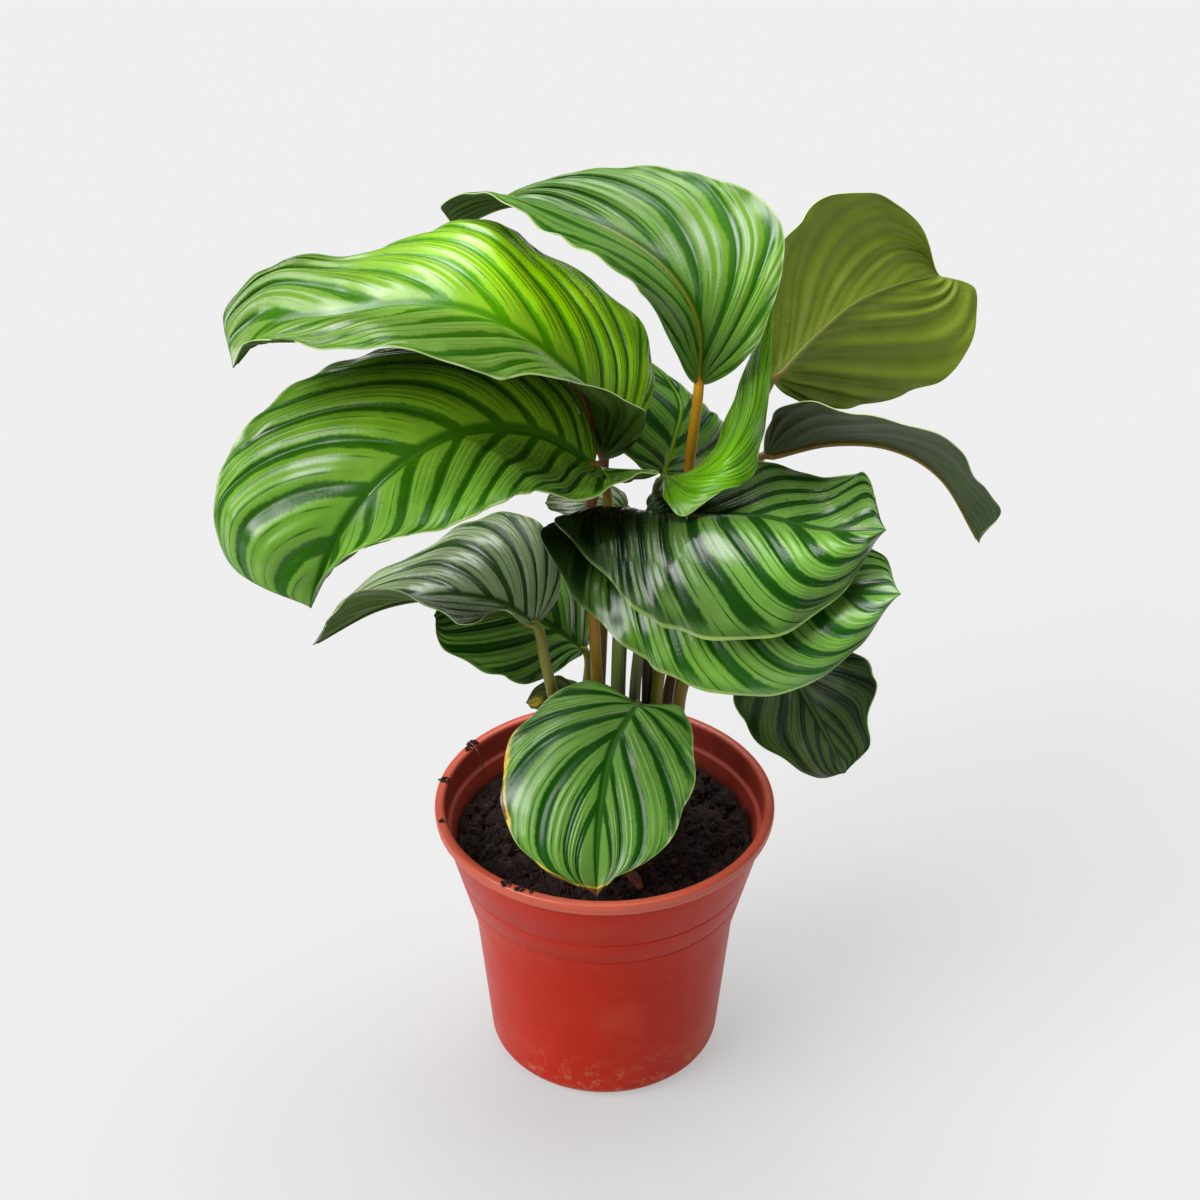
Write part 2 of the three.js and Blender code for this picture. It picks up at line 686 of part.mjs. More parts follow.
/** The stalk as a tapering round solid that ends just inside the blade's base. */
function stalkGeometry(leaf) {
  const rib = leaf.midrib.slice(0, 2).map(sight);
  const end = rib[0].clone().lerp(rib[1], STALK_REACH / rib[0].distanceTo(rib[1]));
  const route = [...stalkRoute(leaf), rib[0], end];
  const path = new THREE.CatmullRomCurve3(route, false, "centripetal");
  const steps = 2 * route.length - 2;
  const { binormals, normals } = path.computeFrenetFrames(steps, false);
  const positions = [];
  const index = [];
  for (let step = 0; step <= steps; step += 1) {
    const share = step / steps;
    const centre = path.getPointAt(share);
    const radius = THREE.MathUtils.lerp(leaf.stalk.foot, leaf.stalk.top, Math.pow(share, STALK_TAPER));
    for (let k = 0; k < STALK_SIDES; k += 1) {
      const turn = (k / STALK_SIDES) * 2 * Math.PI;
      const rim = centre.clone().addScaledVector(normals[step], radius * Math.cos(turn))
        .addScaledVector(binormals[step], radius * Math.sin(turn));
      positions.push(...rim.toArray());
    }
  }
  const [foot, top] = [positions.length / 3, positions.length / 3 + 1];
  positions.push(...path.getPointAt(0).toArray(), ...path.getPointAt(1).toArray());
  for (let k = 0; k < STALK_SIDES; k += 1) {
    const next = (k + 1) % STALK_SIDES;
    for (let step = 0; step < steps; step += 1) {
      const [low, high] = [step * STALK_SIDES, (step + 1) * STALK_SIDES];
      index.push(low + k, low + next, high + next, low + k, high + next, high + k);
    }
    index.push(foot, next, k, top, steps * STALK_SIDES + k, steps * STALK_SIDES + next);
  }
  return solidGeometry(positions, index);
}

function leafGeometry(leaf) {
  return toGeometry(toSolid(bladeGeometry(leaf)).add(toSolid(stalkGeometry(leaf))));
}

// ---- The plant ----
const calathea = new THREE.Group();
calathea.add(piece("pot", potGeometry(), COLOURS.pot));
calathea.add(piece("soil", soilGeometry(), COLOURS.soil));
for (const leaf of LEAVES) calathea.add(piece(leaf.name, leafGeometry(leaf), COLOURS.leaf));

export default calathea;
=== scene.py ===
"""A potted calathea: round, pleated, banded leaves on upright stalks, in a terracotta-red nursery pot.

The leaves are described as they are seen from one fixed eye point. A sighting (across, down, depth) is a
place in space: where it is seen in a square frame, counted from the frame's top left corner, and its depth
y in millimetres, + behind the pot's axis. Other lengths are in metres where their comment doesn't say mm,
with +Z up and the front at -Y.
"""
from __future__ import annotations

import logging
import math
import sys
from dataclasses import dataclass, field
from enum import Enum

import bmesh
import bpy
import numpy as np
from mathutils import Matrix, Vector, noise

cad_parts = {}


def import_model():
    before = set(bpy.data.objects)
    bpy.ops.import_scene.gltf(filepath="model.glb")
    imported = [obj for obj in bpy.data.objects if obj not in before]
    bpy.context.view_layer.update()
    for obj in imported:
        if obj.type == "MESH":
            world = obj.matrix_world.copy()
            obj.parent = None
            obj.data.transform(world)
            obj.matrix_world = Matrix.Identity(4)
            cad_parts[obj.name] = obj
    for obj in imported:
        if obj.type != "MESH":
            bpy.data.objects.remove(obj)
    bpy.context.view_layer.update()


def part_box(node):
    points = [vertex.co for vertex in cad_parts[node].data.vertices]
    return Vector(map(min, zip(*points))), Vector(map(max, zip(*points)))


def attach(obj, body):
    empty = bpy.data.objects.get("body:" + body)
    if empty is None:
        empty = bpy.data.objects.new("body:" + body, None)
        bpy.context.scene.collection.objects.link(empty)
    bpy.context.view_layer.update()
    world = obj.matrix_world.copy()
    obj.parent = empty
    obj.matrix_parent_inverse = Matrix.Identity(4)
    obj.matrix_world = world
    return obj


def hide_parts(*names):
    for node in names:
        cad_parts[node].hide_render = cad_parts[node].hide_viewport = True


LOG = logging.getLogger("calathea")
MM = 0.001
VEIN_MAP = "vein map"  # a blade's UV map: its stripes one way, the midrib to the margins the other
MARKS = "marks"  # a blade's colour attribute: painted light coming through, dried, midrib and painted shade

Sighting = tuple[float, float, float]
Rail = tuple[Sighting, ...]
Rgb = tuple[int, int, int]
Spot = tuple[float, float, float, float, float]  # along, across, span along, span across, strength


# ---- The view ----
@dataclass(frozen=True)
class ReferenceView:
    """The eye point that the leaves are described from, which is also where the camera stands."""

    eye: tuple[float, float, float] = (-2.3 * MM, -900 * MM, 820 * MM)
    pitch: float = math.radians(31.7)
    focal: float = 2236.0  # frame units
    frame: float = 1200.0  # width and height of the frame
    sensor: float = 36.0  # mm

    def sight(self, rail: Rail) -> np.ndarray:
        """Finds the places that sightings name.

        Args:
            rail: sightings, in order.

        Returns:
            One row of x, y, z for each sighting.
        """
        across, down, depth = np.array(rail, dtype=float).T
        rise = self.frame / 2 - down
        ray = np.stack([
            across - self.frame / 2,
            self.focal * math.cos(self.pitch) + rise * math.sin(self.pitch),
            rise * math.cos(self.pitch) - self.focal * math.sin(self.pitch),
        ], axis=1)
        reach = (depth * MM - self.eye[1]) / ray[:, 1]
        return np.array(self.eye) + ray * reach[:, None]

    def at_height(self, across: float, down: float, height: float) -> Vector:
        """Finds the place at a height that is seen at a point of the frame.

        Args:
            across: how far from the frame's left edge.
            down: how far from its top edge.
            height: the place's height in metres.

        Returns:
            The place.
        """
        eye = Vector(self.eye)
        through = Vector(self.sight(((across, down, 0.0),))[0].tolist())
        return eye + (through - eye) * (height - eye.z) / (through.z - eye.z)

    def place_camera(self) -> None:
        """Puts the scene's camera at the eye point."""
        data = bpy.data.cameras.new("view")
        data.sensor_width = self.sensor
        data.lens = self.focal / self.frame * self.sensor
        camera = bpy.data.objects.new("view", data)
        camera.location = self.eye
        camera.rotation_euler = (math.pi / 2 - self.pitch, 0, 0)
        bpy.context.scene.collection.objects.link(camera)
        bpy.context.scene.camera = camera


VIEW = ReferenceView()


# ---- Colours and finishes ----
def linear(colour: Rgb) -> tuple[float, float, float, float]:
    """Turns an eight-bit display colour into scene-linear values.

    Args:
        colour: red, green and blue, 0 to 255.

    Returns:
        Linear red, green, blue and an alpha of 1.
    """
    parts = [c / 255 for c in colour]
    return (*[p / 12.92 if p <= 0.04045 else ((p + 0.055) / 1.055) ** 2.4 for p in parts], 1.0)


@dataclass(frozen=True)
class BladeColours:
    """Colours of a blade's upper face."""

    pale: Rgb
    dark: Rgb
    painted_light_pale: Rgb  # painted light: the colours where light coming through the blade is painted in
    painted_light_dark: Rgb
    rib: Rgb
    band: float  # share of each stripe pair that the dark band takes
    roughness: float


class Tone(Enum):
    """The kinds of upper face on this plant."""

    BRIGHT = BladeColours(
        (88, 128, 48), (34, 82, 8), (110, 160, 16), (56, 118, 0), (158, 166, 40), band=0.34, roughness=0.3,
    )
    SHINY = BladeColours(
        (98, 134, 50), (44, 92, 6), (164, 226, 4), (100, 180, 0), (96, 140, 30), band=0.34, roughness=0.26,
    )
    LIVELY = BladeColours(
        (100, 148, 46), (36, 86, 4), (146, 200, 10), (72, 132, 0), (64, 112, 20), band=0.34, roughness=0.28,
    )
    FRESH = BladeColours(
        (104, 152, 58), (24, 80, 6), (120, 178, 20), (44, 112, 2), (58, 116, 20), band=0.4, roughness=0.3,
    )
    DEEP = BladeColours(
        (84, 120, 50), (20, 56, 6), (112, 164, 60), (26, 80, 8), (60, 110, 26), band=0.42, roughness=0.27,
    )
    # painted shade: a darker, duller copy of DEEP for the leaves that lie in shade
    DEEP_IN_SHADE = BladeColours(
        (58, 84, 30), (18, 44, 6), (80, 130, 40), (22, 72, 8), (60, 96, 24), band=0.42, roughness=0.4,
    )
    SHELTERED = BladeColours(
        (92, 142, 46), (22, 74, 6), (80, 130, 40), (22, 72, 8), (150, 196, 10), band=0.45, roughness=0.36,
    )
    YOUNG = BladeColours(
        (96, 148, 20), (76, 130, 6), (100, 166, 4), (84, 146, 0), (104, 152, 20), band=0.3, roughness=0.28,
    )
    GREY = BladeColours(
        (142, 162, 116), (44, 76, 30), (150, 174, 116), (56, 96, 36), (96, 120, 50),
        band=0.36, roughness=0.28,
    )
    OLIVE = BladeColours(
        (88, 104, 30), (58, 78, 20), (116, 138, 42), (74, 96, 24), (104, 116, 50), band=0.4, roughness=0.42,
    )


@dataclass(frozen=True)
class UnderColours:
    """Colours of a blade's underside."""

    field: Rgb
    vein: Rgb
    rib: Rgb


class Underside(Enum):
    """The kinds of underside on this plant."""

    PLAIN = UnderColours((66, 94, 14), (54, 80, 12), (84, 104, 22))
    # painted light: a brighter, yellower copy of the plain underside, for one with light coming through it
    LIT = UnderColours((120, 142, 34), (108, 128, 28), (128, 144, 46))
    DARK = UnderColours((70, 86, 52), (58, 74, 42), (138, 118, 50))
    RUDDY = UnderColours((60, 88, 14), (48, 74, 12), (112, 72, 26))


# ---- The leaves ----
@dataclass(frozen=True)
class Leaf:
    """One leaf: where its stalk and blade run, and what finish they have.

    petiole runs from the soil to just below the blade, midrib from the base of the blade to its tip, and
    right and left are the margins, from base to tip, as seen on the upper face with the tip pointing away.
    """

    node: str
    foot: tuple[float, float]  # mm, where the stalk stands in the soil
    stalk: tuple[float, float]  # mm, radius at the foot and at the top
    cup: tuple[tuple[float, float], tuple[float, float]]  # mm, lift of each half near the base and beyond
    tone: Tone
    pleat: float  # mm, half the height of a pleat
    stalk_top: Rgb
    stalk_low: Rgb
    petiole: Rail
    midrib: Rail
    right: Rail
    left: Rail
    under: Underside = Underside.PLAIN
    # painted light: soft spots where light coming through the blade is painted in as a brighter, yellower
    # green
    lit: tuple[Spot, ...] = ()
    scorch: tuple[Spot, ...] = ()
    shade: tuple[Spot, ...] = ()  # painted shade: where the blade is darkened, deep among the others
    stripes: float = 9.0  # pairs of a dark and a pale stripe in each half
    lean: float = 1.07  # how far forward a vein near the tip sweeps, as a share of the blade
    last_vein: float = 1.0  # where on the midrib the last band starts

    @property
    def label(self) -> str:
        """The leaf's name without its node prefix."""
        return self.node.removeprefix("leaf_")


LEAVES = (
    Leaf(
        node="leaf_top", foot=(27, 20), stalk=(3.5, 2.4), cup=((2, 2), (2, 2)),
        tone=Tone.BRIGHT, pleat=0.8, lit=((0.25, 0.75, 0.3, 0.45, 0.7),), stalk_top=(212, 150, 24),
        stalk_low=(130, 130, 30),
        petiole=((657, 690, 24), (685, 560, 36), (689, 470, 37)),
        midrib=((699, 385, 28), (698, 325, 34), (669, 273, 48), (621, 236, 62), (566, 214, 76),
            (510, 205, 86), (452, 231, 94)),
        right=((752, 352, 20), (776, 291, 30), (782, 226, 46), (733, 184, 66), (674, 171, 78),
            (610, 167, 86), (546, 180, 92), (500, 206, 102)),
        left=((670, 341, 8), (645, 294, -12), (603, 263, -18), (556, 237, 4), (510, 203, 50),
            (468, 190, 78), (441, 205, 88)),
    ),
    Leaf(
        node="leaf_left_upper", foot=(-3, 24), stalk=(3.3, 2.6), cup=((-5, 3), (4, 4)),
        tone=Tone.SHINY, under=Underside.RUDDY, pleat=1.1, stripes=13.0, lean=0.45,
        lit=((0.26, 0.55, 0.36, 0.6, 1.0),), stalk_top=(132, 78, 36), stalk_low=(176, 140, 40),
        petiole=((597, 690, 20), (593, 600, 14), (590, 512, 12)),
        midrib=((604, 457, 15), (584, 391, 14), (535, 345, 8), (475, 313, 2), (407, 305, -6),
            (340, 315, -14), (272, 326, -22), (233, 368, -32)),
        right=((648, 405, 38), (646, 338, 54), (604, 285, 68), (545, 250, 76), (484, 222, 76),
            (417, 235, 68), (354, 256, 52), (284, 261, 30), (226, 310, -5)),
        left=((634, 446, -2), (644, 408, -22), (598, 391, -42), (549, 376, -58), (495, 378, -68),
            (441, 360, -72), (387, 345, -70), (331, 349, -62), (280, 338, -50), (247, 342, -38)),
    ),
    Leaf(
        node="leaf_left_broad", foot=(-6, 38), stalk=(3.2, 2.2), cup=((-16, 4), (10, 8)),
        tone=Tone.LIVELY, pleat=0.9, shade=((0.35, 0.8, 0.3, 0.35, 0.5),), stripes=14.0, lean=0.36,
        lit=((0.2, 0.5, 0.4, 0.8, 0.8),), stalk_top=(156, 128, 40), stalk_low=(124, 112, 44),
        petiole=((600, 680, 31), (604, 600, 27), (609, 522, 13)),
        midrib=((596, 465, -3), (532, 433, -10), (456, 436, -28), (389, 476, -44), (340, 536, -55),
            (311, 608, -62)),
        right=((590, 438, 34), (562, 374, 52), (480, 339, 54), (393, 344, 38), (315, 374, 15),
            (252, 423, -10), (212, 494, -38), (236, 571, -55)),
        left=((658, 471, -6), (628, 481, -30), (586, 501, -50), (537, 491, -66), (486, 508, -84),
            (438, 529, -92), (386, 542, -90), (337, 565, -78)),
    ),
    Leaf(
        node="leaf_left_grey", foot=(-20, 22), stalk=(3.2, 2.6), cup=((0, 0), (2, 2)),
        tone=Tone.GREY, pleat=0.7, stripes=11.0, lean=0.7, stalk_top=(128, 130, 48),
        stalk_low=(104, 124, 46),
        petiole=((561, 745, 14), (554, 700, 6), (545, 662, 1)),
        midrib=((535, 624, 5), (497, 603, 5), (440, 596, 0), (378, 608, -8), (313, 645, -18)),
        right=((560, 587, 26), (550, 537, 46), (515, 512, 58), (468, 522, 56), (425, 550, 46),
            (380, 572, 30), (341, 604, 10)),
        left=((500, 612, -18), (465, 622, -44), (430, 610, -56), (399, 595, -58), (362, 592, -52),
            (332, 614, -36)),
    ),
    Leaf(
        node="leaf_left_shaded", foot=(-14, 32), stalk=(2.6, 2), cup=((0, 0), (4, 4)),
        tone=Tone.FRESH, pleat=0.5, lean=0.7, stalk_top=(150, 150, 60), stalk_low=(150, 130, 60),
        petiole=((583, 745, 33), (586, 690, 38)),
        midrib=((585, 650, 44), (545, 622, 38), (505, 604, 30), (465, 600, 22), (434, 616, 12)),
        right=((596, 618, 66), (586, 572, 78), (535, 552, 82), (480, 560, 64), (448, 588, 37)),
        left=((570, 662, 28), (532, 684, 6), (490, 674, -8), (452, 655, -8), (437, 634, 0)),
    ),
    Leaf(
        node="leaf_front", foot=(14, 6), stalk=(2.8, 2.2), cup=((0, 0), (5, 5)),
        tone=Tone.FRESH, pleat=0.4, stripes=9.0, last_vein=0.55,
        scorch=((0.45, 1.0, 0.22, 0.06, 0.62), (0.57, 1.0, 0.07, 0.06, 0.6),
            (0.93, 0.97, 0.1, 0.1, 0.85), (1.0, 0.0, 0.045, 1.5, 1.4), (0.84, -1.0, 0.03, 0.06, 1.0)),
        stalk_top=(80, 110, 40), stalk_low=(90, 100, 45),
        petiole=((636, 770, 4),),
        midrib=((638, 703, -5), (613, 746, -20), (602, 797, -38), (597, 848, -53), (597, 897, -64)),
        right=((592, 680, -2), (547, 701, -5), (512, 737, -14), (501, 788, -32), (513, 838, -49),
            (536, 863, -57), (568, 882, -63)),
        left=((681, 708, -5), (694, 751, -20), (689, 798, -36), (671, 838, -50), (645, 864, -58),
            (613, 881, -63)),
    ),
    Leaf(
        node="leaf_small_back", foot=(-13, 50), stalk=(2, 1.5), cup=((0, 0), (2, 2)),
        tone=Tone.OLIVE, pleat=0.3, stripes=7.0, scorch=((0.9, -0.4, 0.3, 0.5, 0.6),),
        stalk_top=(110, 120, 50), stalk_low=(110, 110, 50),
        petiole=((580, 745, 48),),
        midrib=((580, 708, 46), (568, 698, 44), (553, 692, 41), (539, 695, 38), (526, 703, 36)),
        right=((584, 690, 56), (568, 679, 56), (550, 679, 50), (535, 688, 42)),
        left=((572, 716, 36), (558, 716, 32), (544, 712, 32), (532, 708, 34)),
    ),
    Leaf(
        node="leaf_right_broad", foot=(7, 20), stalk=(3.3, 2.6), cup=((6, 0), (4, 14)),
        tone=Tone.DEEP, pleat=0.4, stripes=12.0, lean=0.5,
        shade=((0.0, 0.6, 0.34, 0.6, 1.1), (0.3, -0.5, 0.3, 0.5, 0.5)),
        lit=((0.75, 0.4, 0.3, 0.5, 0.8),), stalk_top=(95, 125, 45), stalk_low=(112, 135, 58),
        petiole=((617, 685, 17), (621, 600, 17), (631, 545, 16)),
        midrib=((640, 515, 0), (702, 514, 0), (764, 517, -5), (826, 530, -10), (886, 530, -16)),
        right=((556, 518, -20), (597, 567, -44), (647, 618, -60), (715, 638, -66), (787, 632, -62),
            (845, 590, -42)),
        left=((655, 496, 14), (718, 480, 38), (768, 462, 50), (822, 478, 40), (866, 474, 14)),
    ),
    Leaf(
        node="leaf_right_under", foot=(15, 16), stalk=(3.2, 2.5), cup=((0, 0), (8, 10)),
        tone=Tone.FRESH, pleat=0.45, stripes=12.0, lean=0.5, shade=((0.0, 0.7, 0.2, 0.8, 1.2),),
        lit=((0.35, 0.9, 0.35, 0.3, 0.35),), stalk_top=(88, 105, 45), stalk_low=(72, 84, 42),
        petiole=((635, 690, 14), (647, 600, 17)),
        midrib=((655, 562, 1), (716, 563, -6), (778, 578, -18), (840, 590, -27), (901, 594, -30)),
        right=((545, 527, -12), (571, 592, -28), (617, 639, -42), (672, 678, -56), (738, 697, -64),
            (804, 685, -62), (858, 647, -50)),
        left=((682, 540, 22), (728, 530, 36), (778, 527, 40), (840, 533, 24), (884, 556, -2)),
    ),
    Leaf(
        node="leaf_right_hanging", foot=(37, 22), stalk=(3.4, 2), cup=((0, 0), (4, 4)),
        tone=Tone.DEEP_IN_SHADE, pleat=0.4, stalk_top=(120, 120, 45), stalk_low=(142, 124, 44),
        petiole=((681, 695, 28), (712, 640, 33), (750, 618, 31)),
        midrib=((772, 640, 25), (796, 682, 12), (817, 718, 2), (833, 748, -4), (845, 773, -8)),
        right=((742, 655, 30), (735, 690, 22), (748, 730, 12), (783, 758, 4), (816, 779, -4)),
        left=((815, 640, 15), (858, 655, 2), (876, 680, -6), (869, 713, -11), (870, 746, -12)),
    ),
    Leaf(
        node="leaf_right_raised", foot=(31, 30), stalk=(3.4, 2.2), cup=((0, 0), (6, 6)),
        tone=Tone.FRESH, pleat=0.9, under=Underside.LIT, stalk_top=(150, 130, 50),
        stalk_low=(112, 82, 44),
        petiole=((669, 690, 34), (705, 570, 54), (735, 470, 60)),
        midrib=((772, 379, 52), (812, 338, 76), (853, 304, 102), (900, 284, 127), (940, 276, 150)),
        right=((769, 327, 62), (776, 276, 78), (793, 227, 96), (832, 196, 114), (882, 195, 130),
            (922, 228, 142)),
        left=((803, 403, 68), (844, 407, 84), (884, 401, 100), (922, 387, 116), (958, 365, 128),
            (975, 329, 140), (975, 288, 148)),
    ),
    Leaf(
        node="leaf_right_drooping", foot=(33, 42), stalk=(3.2, 2.2), cup=((0, 0), (2, 2)),
        tone=Tone.DEEP_IN_SHADE, pleat=0.4, under=Underside.DARK, stalk_top=(150, 120, 60),
        stalk_low=(110, 96, 56),
        petiole=((675, 690, 52), (712, 570, 66), (748, 480, 70)),
        midrib=((765, 455, 66), (830, 441, 66), (893, 447, 62), (943, 479, 56), (979, 543, 46)),
        right=((774, 411, 56), (816, 401, 42), (858, 417, 32), (903, 424, 26), (945, 440, 26),
            (974, 474, 32), (1001, 511, 42)),
        left=((790, 416, 86), (842, 422, 100), (900, 433, 104), (950, 460, 94), (985, 505, 72)),
    ),
    Leaf(
        node="leaf_centre_back", foot=(22, 38), stalk=(3, 1.8), cup=((0, 0), (4, 4)),
        tone=Tone.SHELTERED, pleat=0.5, stripes=7.0, lean=0.7, stalk_top=(130, 150, 40),
        stalk_low=(100, 110, 50),
        petiole=((650, 690, 40), (658, 570, 42)),
        midrib=((664, 474, 38), (675, 437, 50), (681, 405, 64), (668, 380, 80), (645, 358, 94)),
        right=((688, 478, 48), (715, 460, 62), (726, 425, 74), (708, 414, 86), (676, 388, 92)),
        left=((640, 468, 30), (618, 445, 30), (608, 415, 40), (612, 385, 56), (628, 365, 76)),
    ),
    Leaf(
        node="leaf_young_rolled", foot=(21, 26), stalk=(3.4, 1.8), cup=((0, 0), (4, 4)),
        tone=Tone.YOUNG, pleat=0.4, stripes=6.0, lit=((0.5, 0.5, 0.6, 1.0, 0.9),),
        stalk_top=(95, 110, 50), stalk_low=(58, 40, 38),
        petiole=((647, 690, 27), (648, 570, 26), (655, 500, 22)),
        midrib=((665, 477, 14), (718, 466, 8), (752, 412, 18), (761, 345, 36), (778, 254, 54)),
        right=((667, 502, -14), (686, 514, -22), (718, 494, -10), (749, 475, 10), (763, 441, 20),
            (769, 404, 28), (771, 367, 36), (768, 329, 44), (773, 293, 52)),
        left=((690, 474, 22), (716, 445, 28), (734, 409, 34), (744, 370, 40), (761, 334, 46),
            (772, 293, 54)),
    ),
    Leaf(
        node="leaf_young_left", foot=(9, 34), stalk=(2.2, 1.5), cup=((0, 0), (2, 2)),
        tone=Tone.GREY, pleat=0.3, stripes=7.0, stalk_top=(120, 130, 60), stalk_low=(96, 84, 50),
        petiole=((622, 690, 40), (626, 600, 50)),
        midrib=((628, 508, 56), (608, 503, 54), (585, 502, 51), (565, 503, 48), (545, 503, 46)),
        right=((622, 492, 66), (600, 490, 68), (574, 491, 62), (552, 494, 53)),
        left=((616, 521, 44), (597, 521, 40), (573, 518, 40), (551, 511, 43)),
    ),
)

# ---- Shader building ----
Socket = bpy.types.NodeSocket
Value = Socket | float | tuple[float, ...]


@dataclass
class Shader:
    """Writes nodes into one shader tree."""

    tree: bpy.types.NodeTree

    def node(self, kind: str, **settings: object) -> bpy.types.Node:
        """Adds a node.

        Args:
            kind: the node's type name.
            settings: properties to set on it.

        Returns:
            The node.
        """
        made = self.tree.nodes.new(kind)
        for name, value in settings.items():
            setattr(made, name, value)
        return made

    def feed(self, socket: Socket, value: Value) -> None:
        """Links a socket to another one, or sets its own value.

        Args:
            socket: the input.
            value: an output socket, a number or a colour.
        """
        if isinstance(value, bpy.types.NodeSocket):
            self.tree.links.new(value, socket)
        else:
            socket.default_value = value

    def math(self, operation: str, first: Value, second: Value = 0.0, third: Value = 0.0) -> Socket:
        """Adds a math node.

        Args:
            operation: what it works out.
            first: its first value.
            second: its second value.
            third: its third value.

        Returns:
            The result.
        """
        made = self.node("ShaderNodeMath", operation=operation)
        for socket, value in zip(made.inputs, (first, second, third)):
            self.feed(socket, value)
        return made.outputs[0]

    def step(self, value: Value, start: float, end: float) -> Socket:
        """Adds a smooth step.

        Args:
            value: what is tested.
            start: the value that gives 0.
            end: the value that gives 1.

        Returns:
            The result.
        """
        made = self.node("ShaderNodeMapRange", interpolation_type="SMOOTHSTEP")
        for name, part in (("Value", value), ("From Min", start), ("From Max", end)):
            self.feed(made.inputs[name], part)
        return made.outputs["Result"]

    def mix(self, share: Value, first: Value, second: Value, blend: str = "MIX") -> Socket:
        """Adds a colour mix and returns its colour.

        Args:
            share: how much of the second colour.
            first: the first colour.
            second: the second colour.
            blend: how the two are put together.

        Returns:
            The mixed colour.
        """
        made = self.node("ShaderNodeMix", data_type="RGBA", blend_type=blend)
        self.feed(made.inputs[0], share)
        self.feed(made.inputs[6], first)
        self.feed(made.inputs[7], second)
        return made.outputs[2]

    def noise(self, place: Socket, scale: float, detail: float = 3.0, rough: float = 0.55) -> Socket:
        """Adds a noise texture.

        Args:
            place: where it is read.
            scale: how fine it is.
            detail: how many finer layers it has.
            rough: how strong they are.

        Returns:
            The factor.
        """
        made = self.node("ShaderNodeTexNoise")
        self.feed(made.inputs["Vector"], place)
        for name, value in (("Scale", scale), ("Detail", detail), ("Roughness", rough)):
            made.inputs[name].default_value = value
        return made.outputs["Fac"]

    def stretch(self, place: Socket, scale: tuple[float, float, float]) -> Socket:
        """Adds a mapping node that scales a place and returns the new place."""
        made = self.node("ShaderNodeMapping")
        self.feed(made.inputs["Vector"], place)
        made.inputs["Scale"].default_value = scale
        return made.outputs["Vector"]

    def bump(self, height: Socket, distance: float) -> Socket:
        """Adds a bump node and returns its normal."""
        made = self.node("ShaderNodeBump")
        made.inputs["Distance"].default_value = distance
        self.feed(made.inputs["Height"], height)
        return made.outputs["Normal"]

    def place(self) -> Socket:
        """Adds a node that reads where the surface is, in the object's own coordinates."""
        return self.node("ShaderNodeTexCoord").outputs["Object"]

    def axes(self, vector: Socket) -> bpy.types.NodeOutputs:
        """Adds a node that splits a vector and returns its X, Y and Z."""
        made = self.node("ShaderNodeSeparateXYZ")
        self.feed(made.inputs[0], vector)
        return made.outputs

    def attribute(self, name: str) -> bpy.types.NodeOutputs:
        """Adds a node that reads one of the mesh's own attributes."""
        return self.node("ShaderNodeAttribute", attribute_name=name).outputs

    def vein_map(self) -> bpy.types.NodeOutputs:
        """Adds nodes that read a blade's vein map and returns its X, Y and Z."""
        return self.axes(self.node("ShaderNodeUVMap", uv_map=VEIN_MAP).outputs[0])

    def marks(self) -> list[Socket]:
        """Adds nodes that read a blade's marks and returns painted light, dried and midrib."""
        made = self.node("ShaderNodeSeparateColor")
        self.feed(made.inputs[0], self.attribute(MARKS)["Color"])
        return made.outputs[:3]

    def group(self, tree: bpy.types.NodeTree, **inputs: Value) -> bpy.types.Node:
        """Places a node group and feeds its inputs.

        Args:
            tree: the group.
            inputs: values by input name.

        Returns:
            The group's node.
        """
        made = self.node("ShaderNodeGroup", node_tree=tree)
        for name, value in inputs.items():
            self.feed(made.inputs[name], value)
        return made


def new_group(name: str, inputs: dict[str, str], outputs: dict[str, str],
              ) -> tuple[Shader, bpy.types.NodeOutputs, bpy.types.NodeInputs]:
    """Starts a shader node group.

    Args:
        name: the group's name.
        inputs: socket types by input name.
        outputs: socket types by output name.

    Returns:
        A writer for the group's tree, its input node's outputs and its output node's inputs.
    """
    tree = bpy.data.node_groups.new(name, "ShaderNodeTree")
    for way, sockets in (("INPUT", inputs), ("OUTPUT", outputs)):
        for label, kind in sockets.items():
            tree.interface.new_socket(label, in_out=way, socket_type=kind)
    shader = Shader(tree)
    return shader, shader.node("NodeGroupInput").outputs, shader.node("NodeGroupOutput").inputs


def new_finish(name: str) -> tuple[bpy.types.Material, Shader, bpy.types.Node]:
    """Starts a material.

    Args:
        name: the material's name.

    Returns:
        The material, a writer for its tree and its surface shader.
    """
    material = bpy.data.materials.new(name)
    material.use_nodes = True
    shader = Shader(material.node_tree)
    surface = next(n for n in material.node_tree.nodes if n.type == "BSDF_PRINCIPLED")
    return material, shader, surface


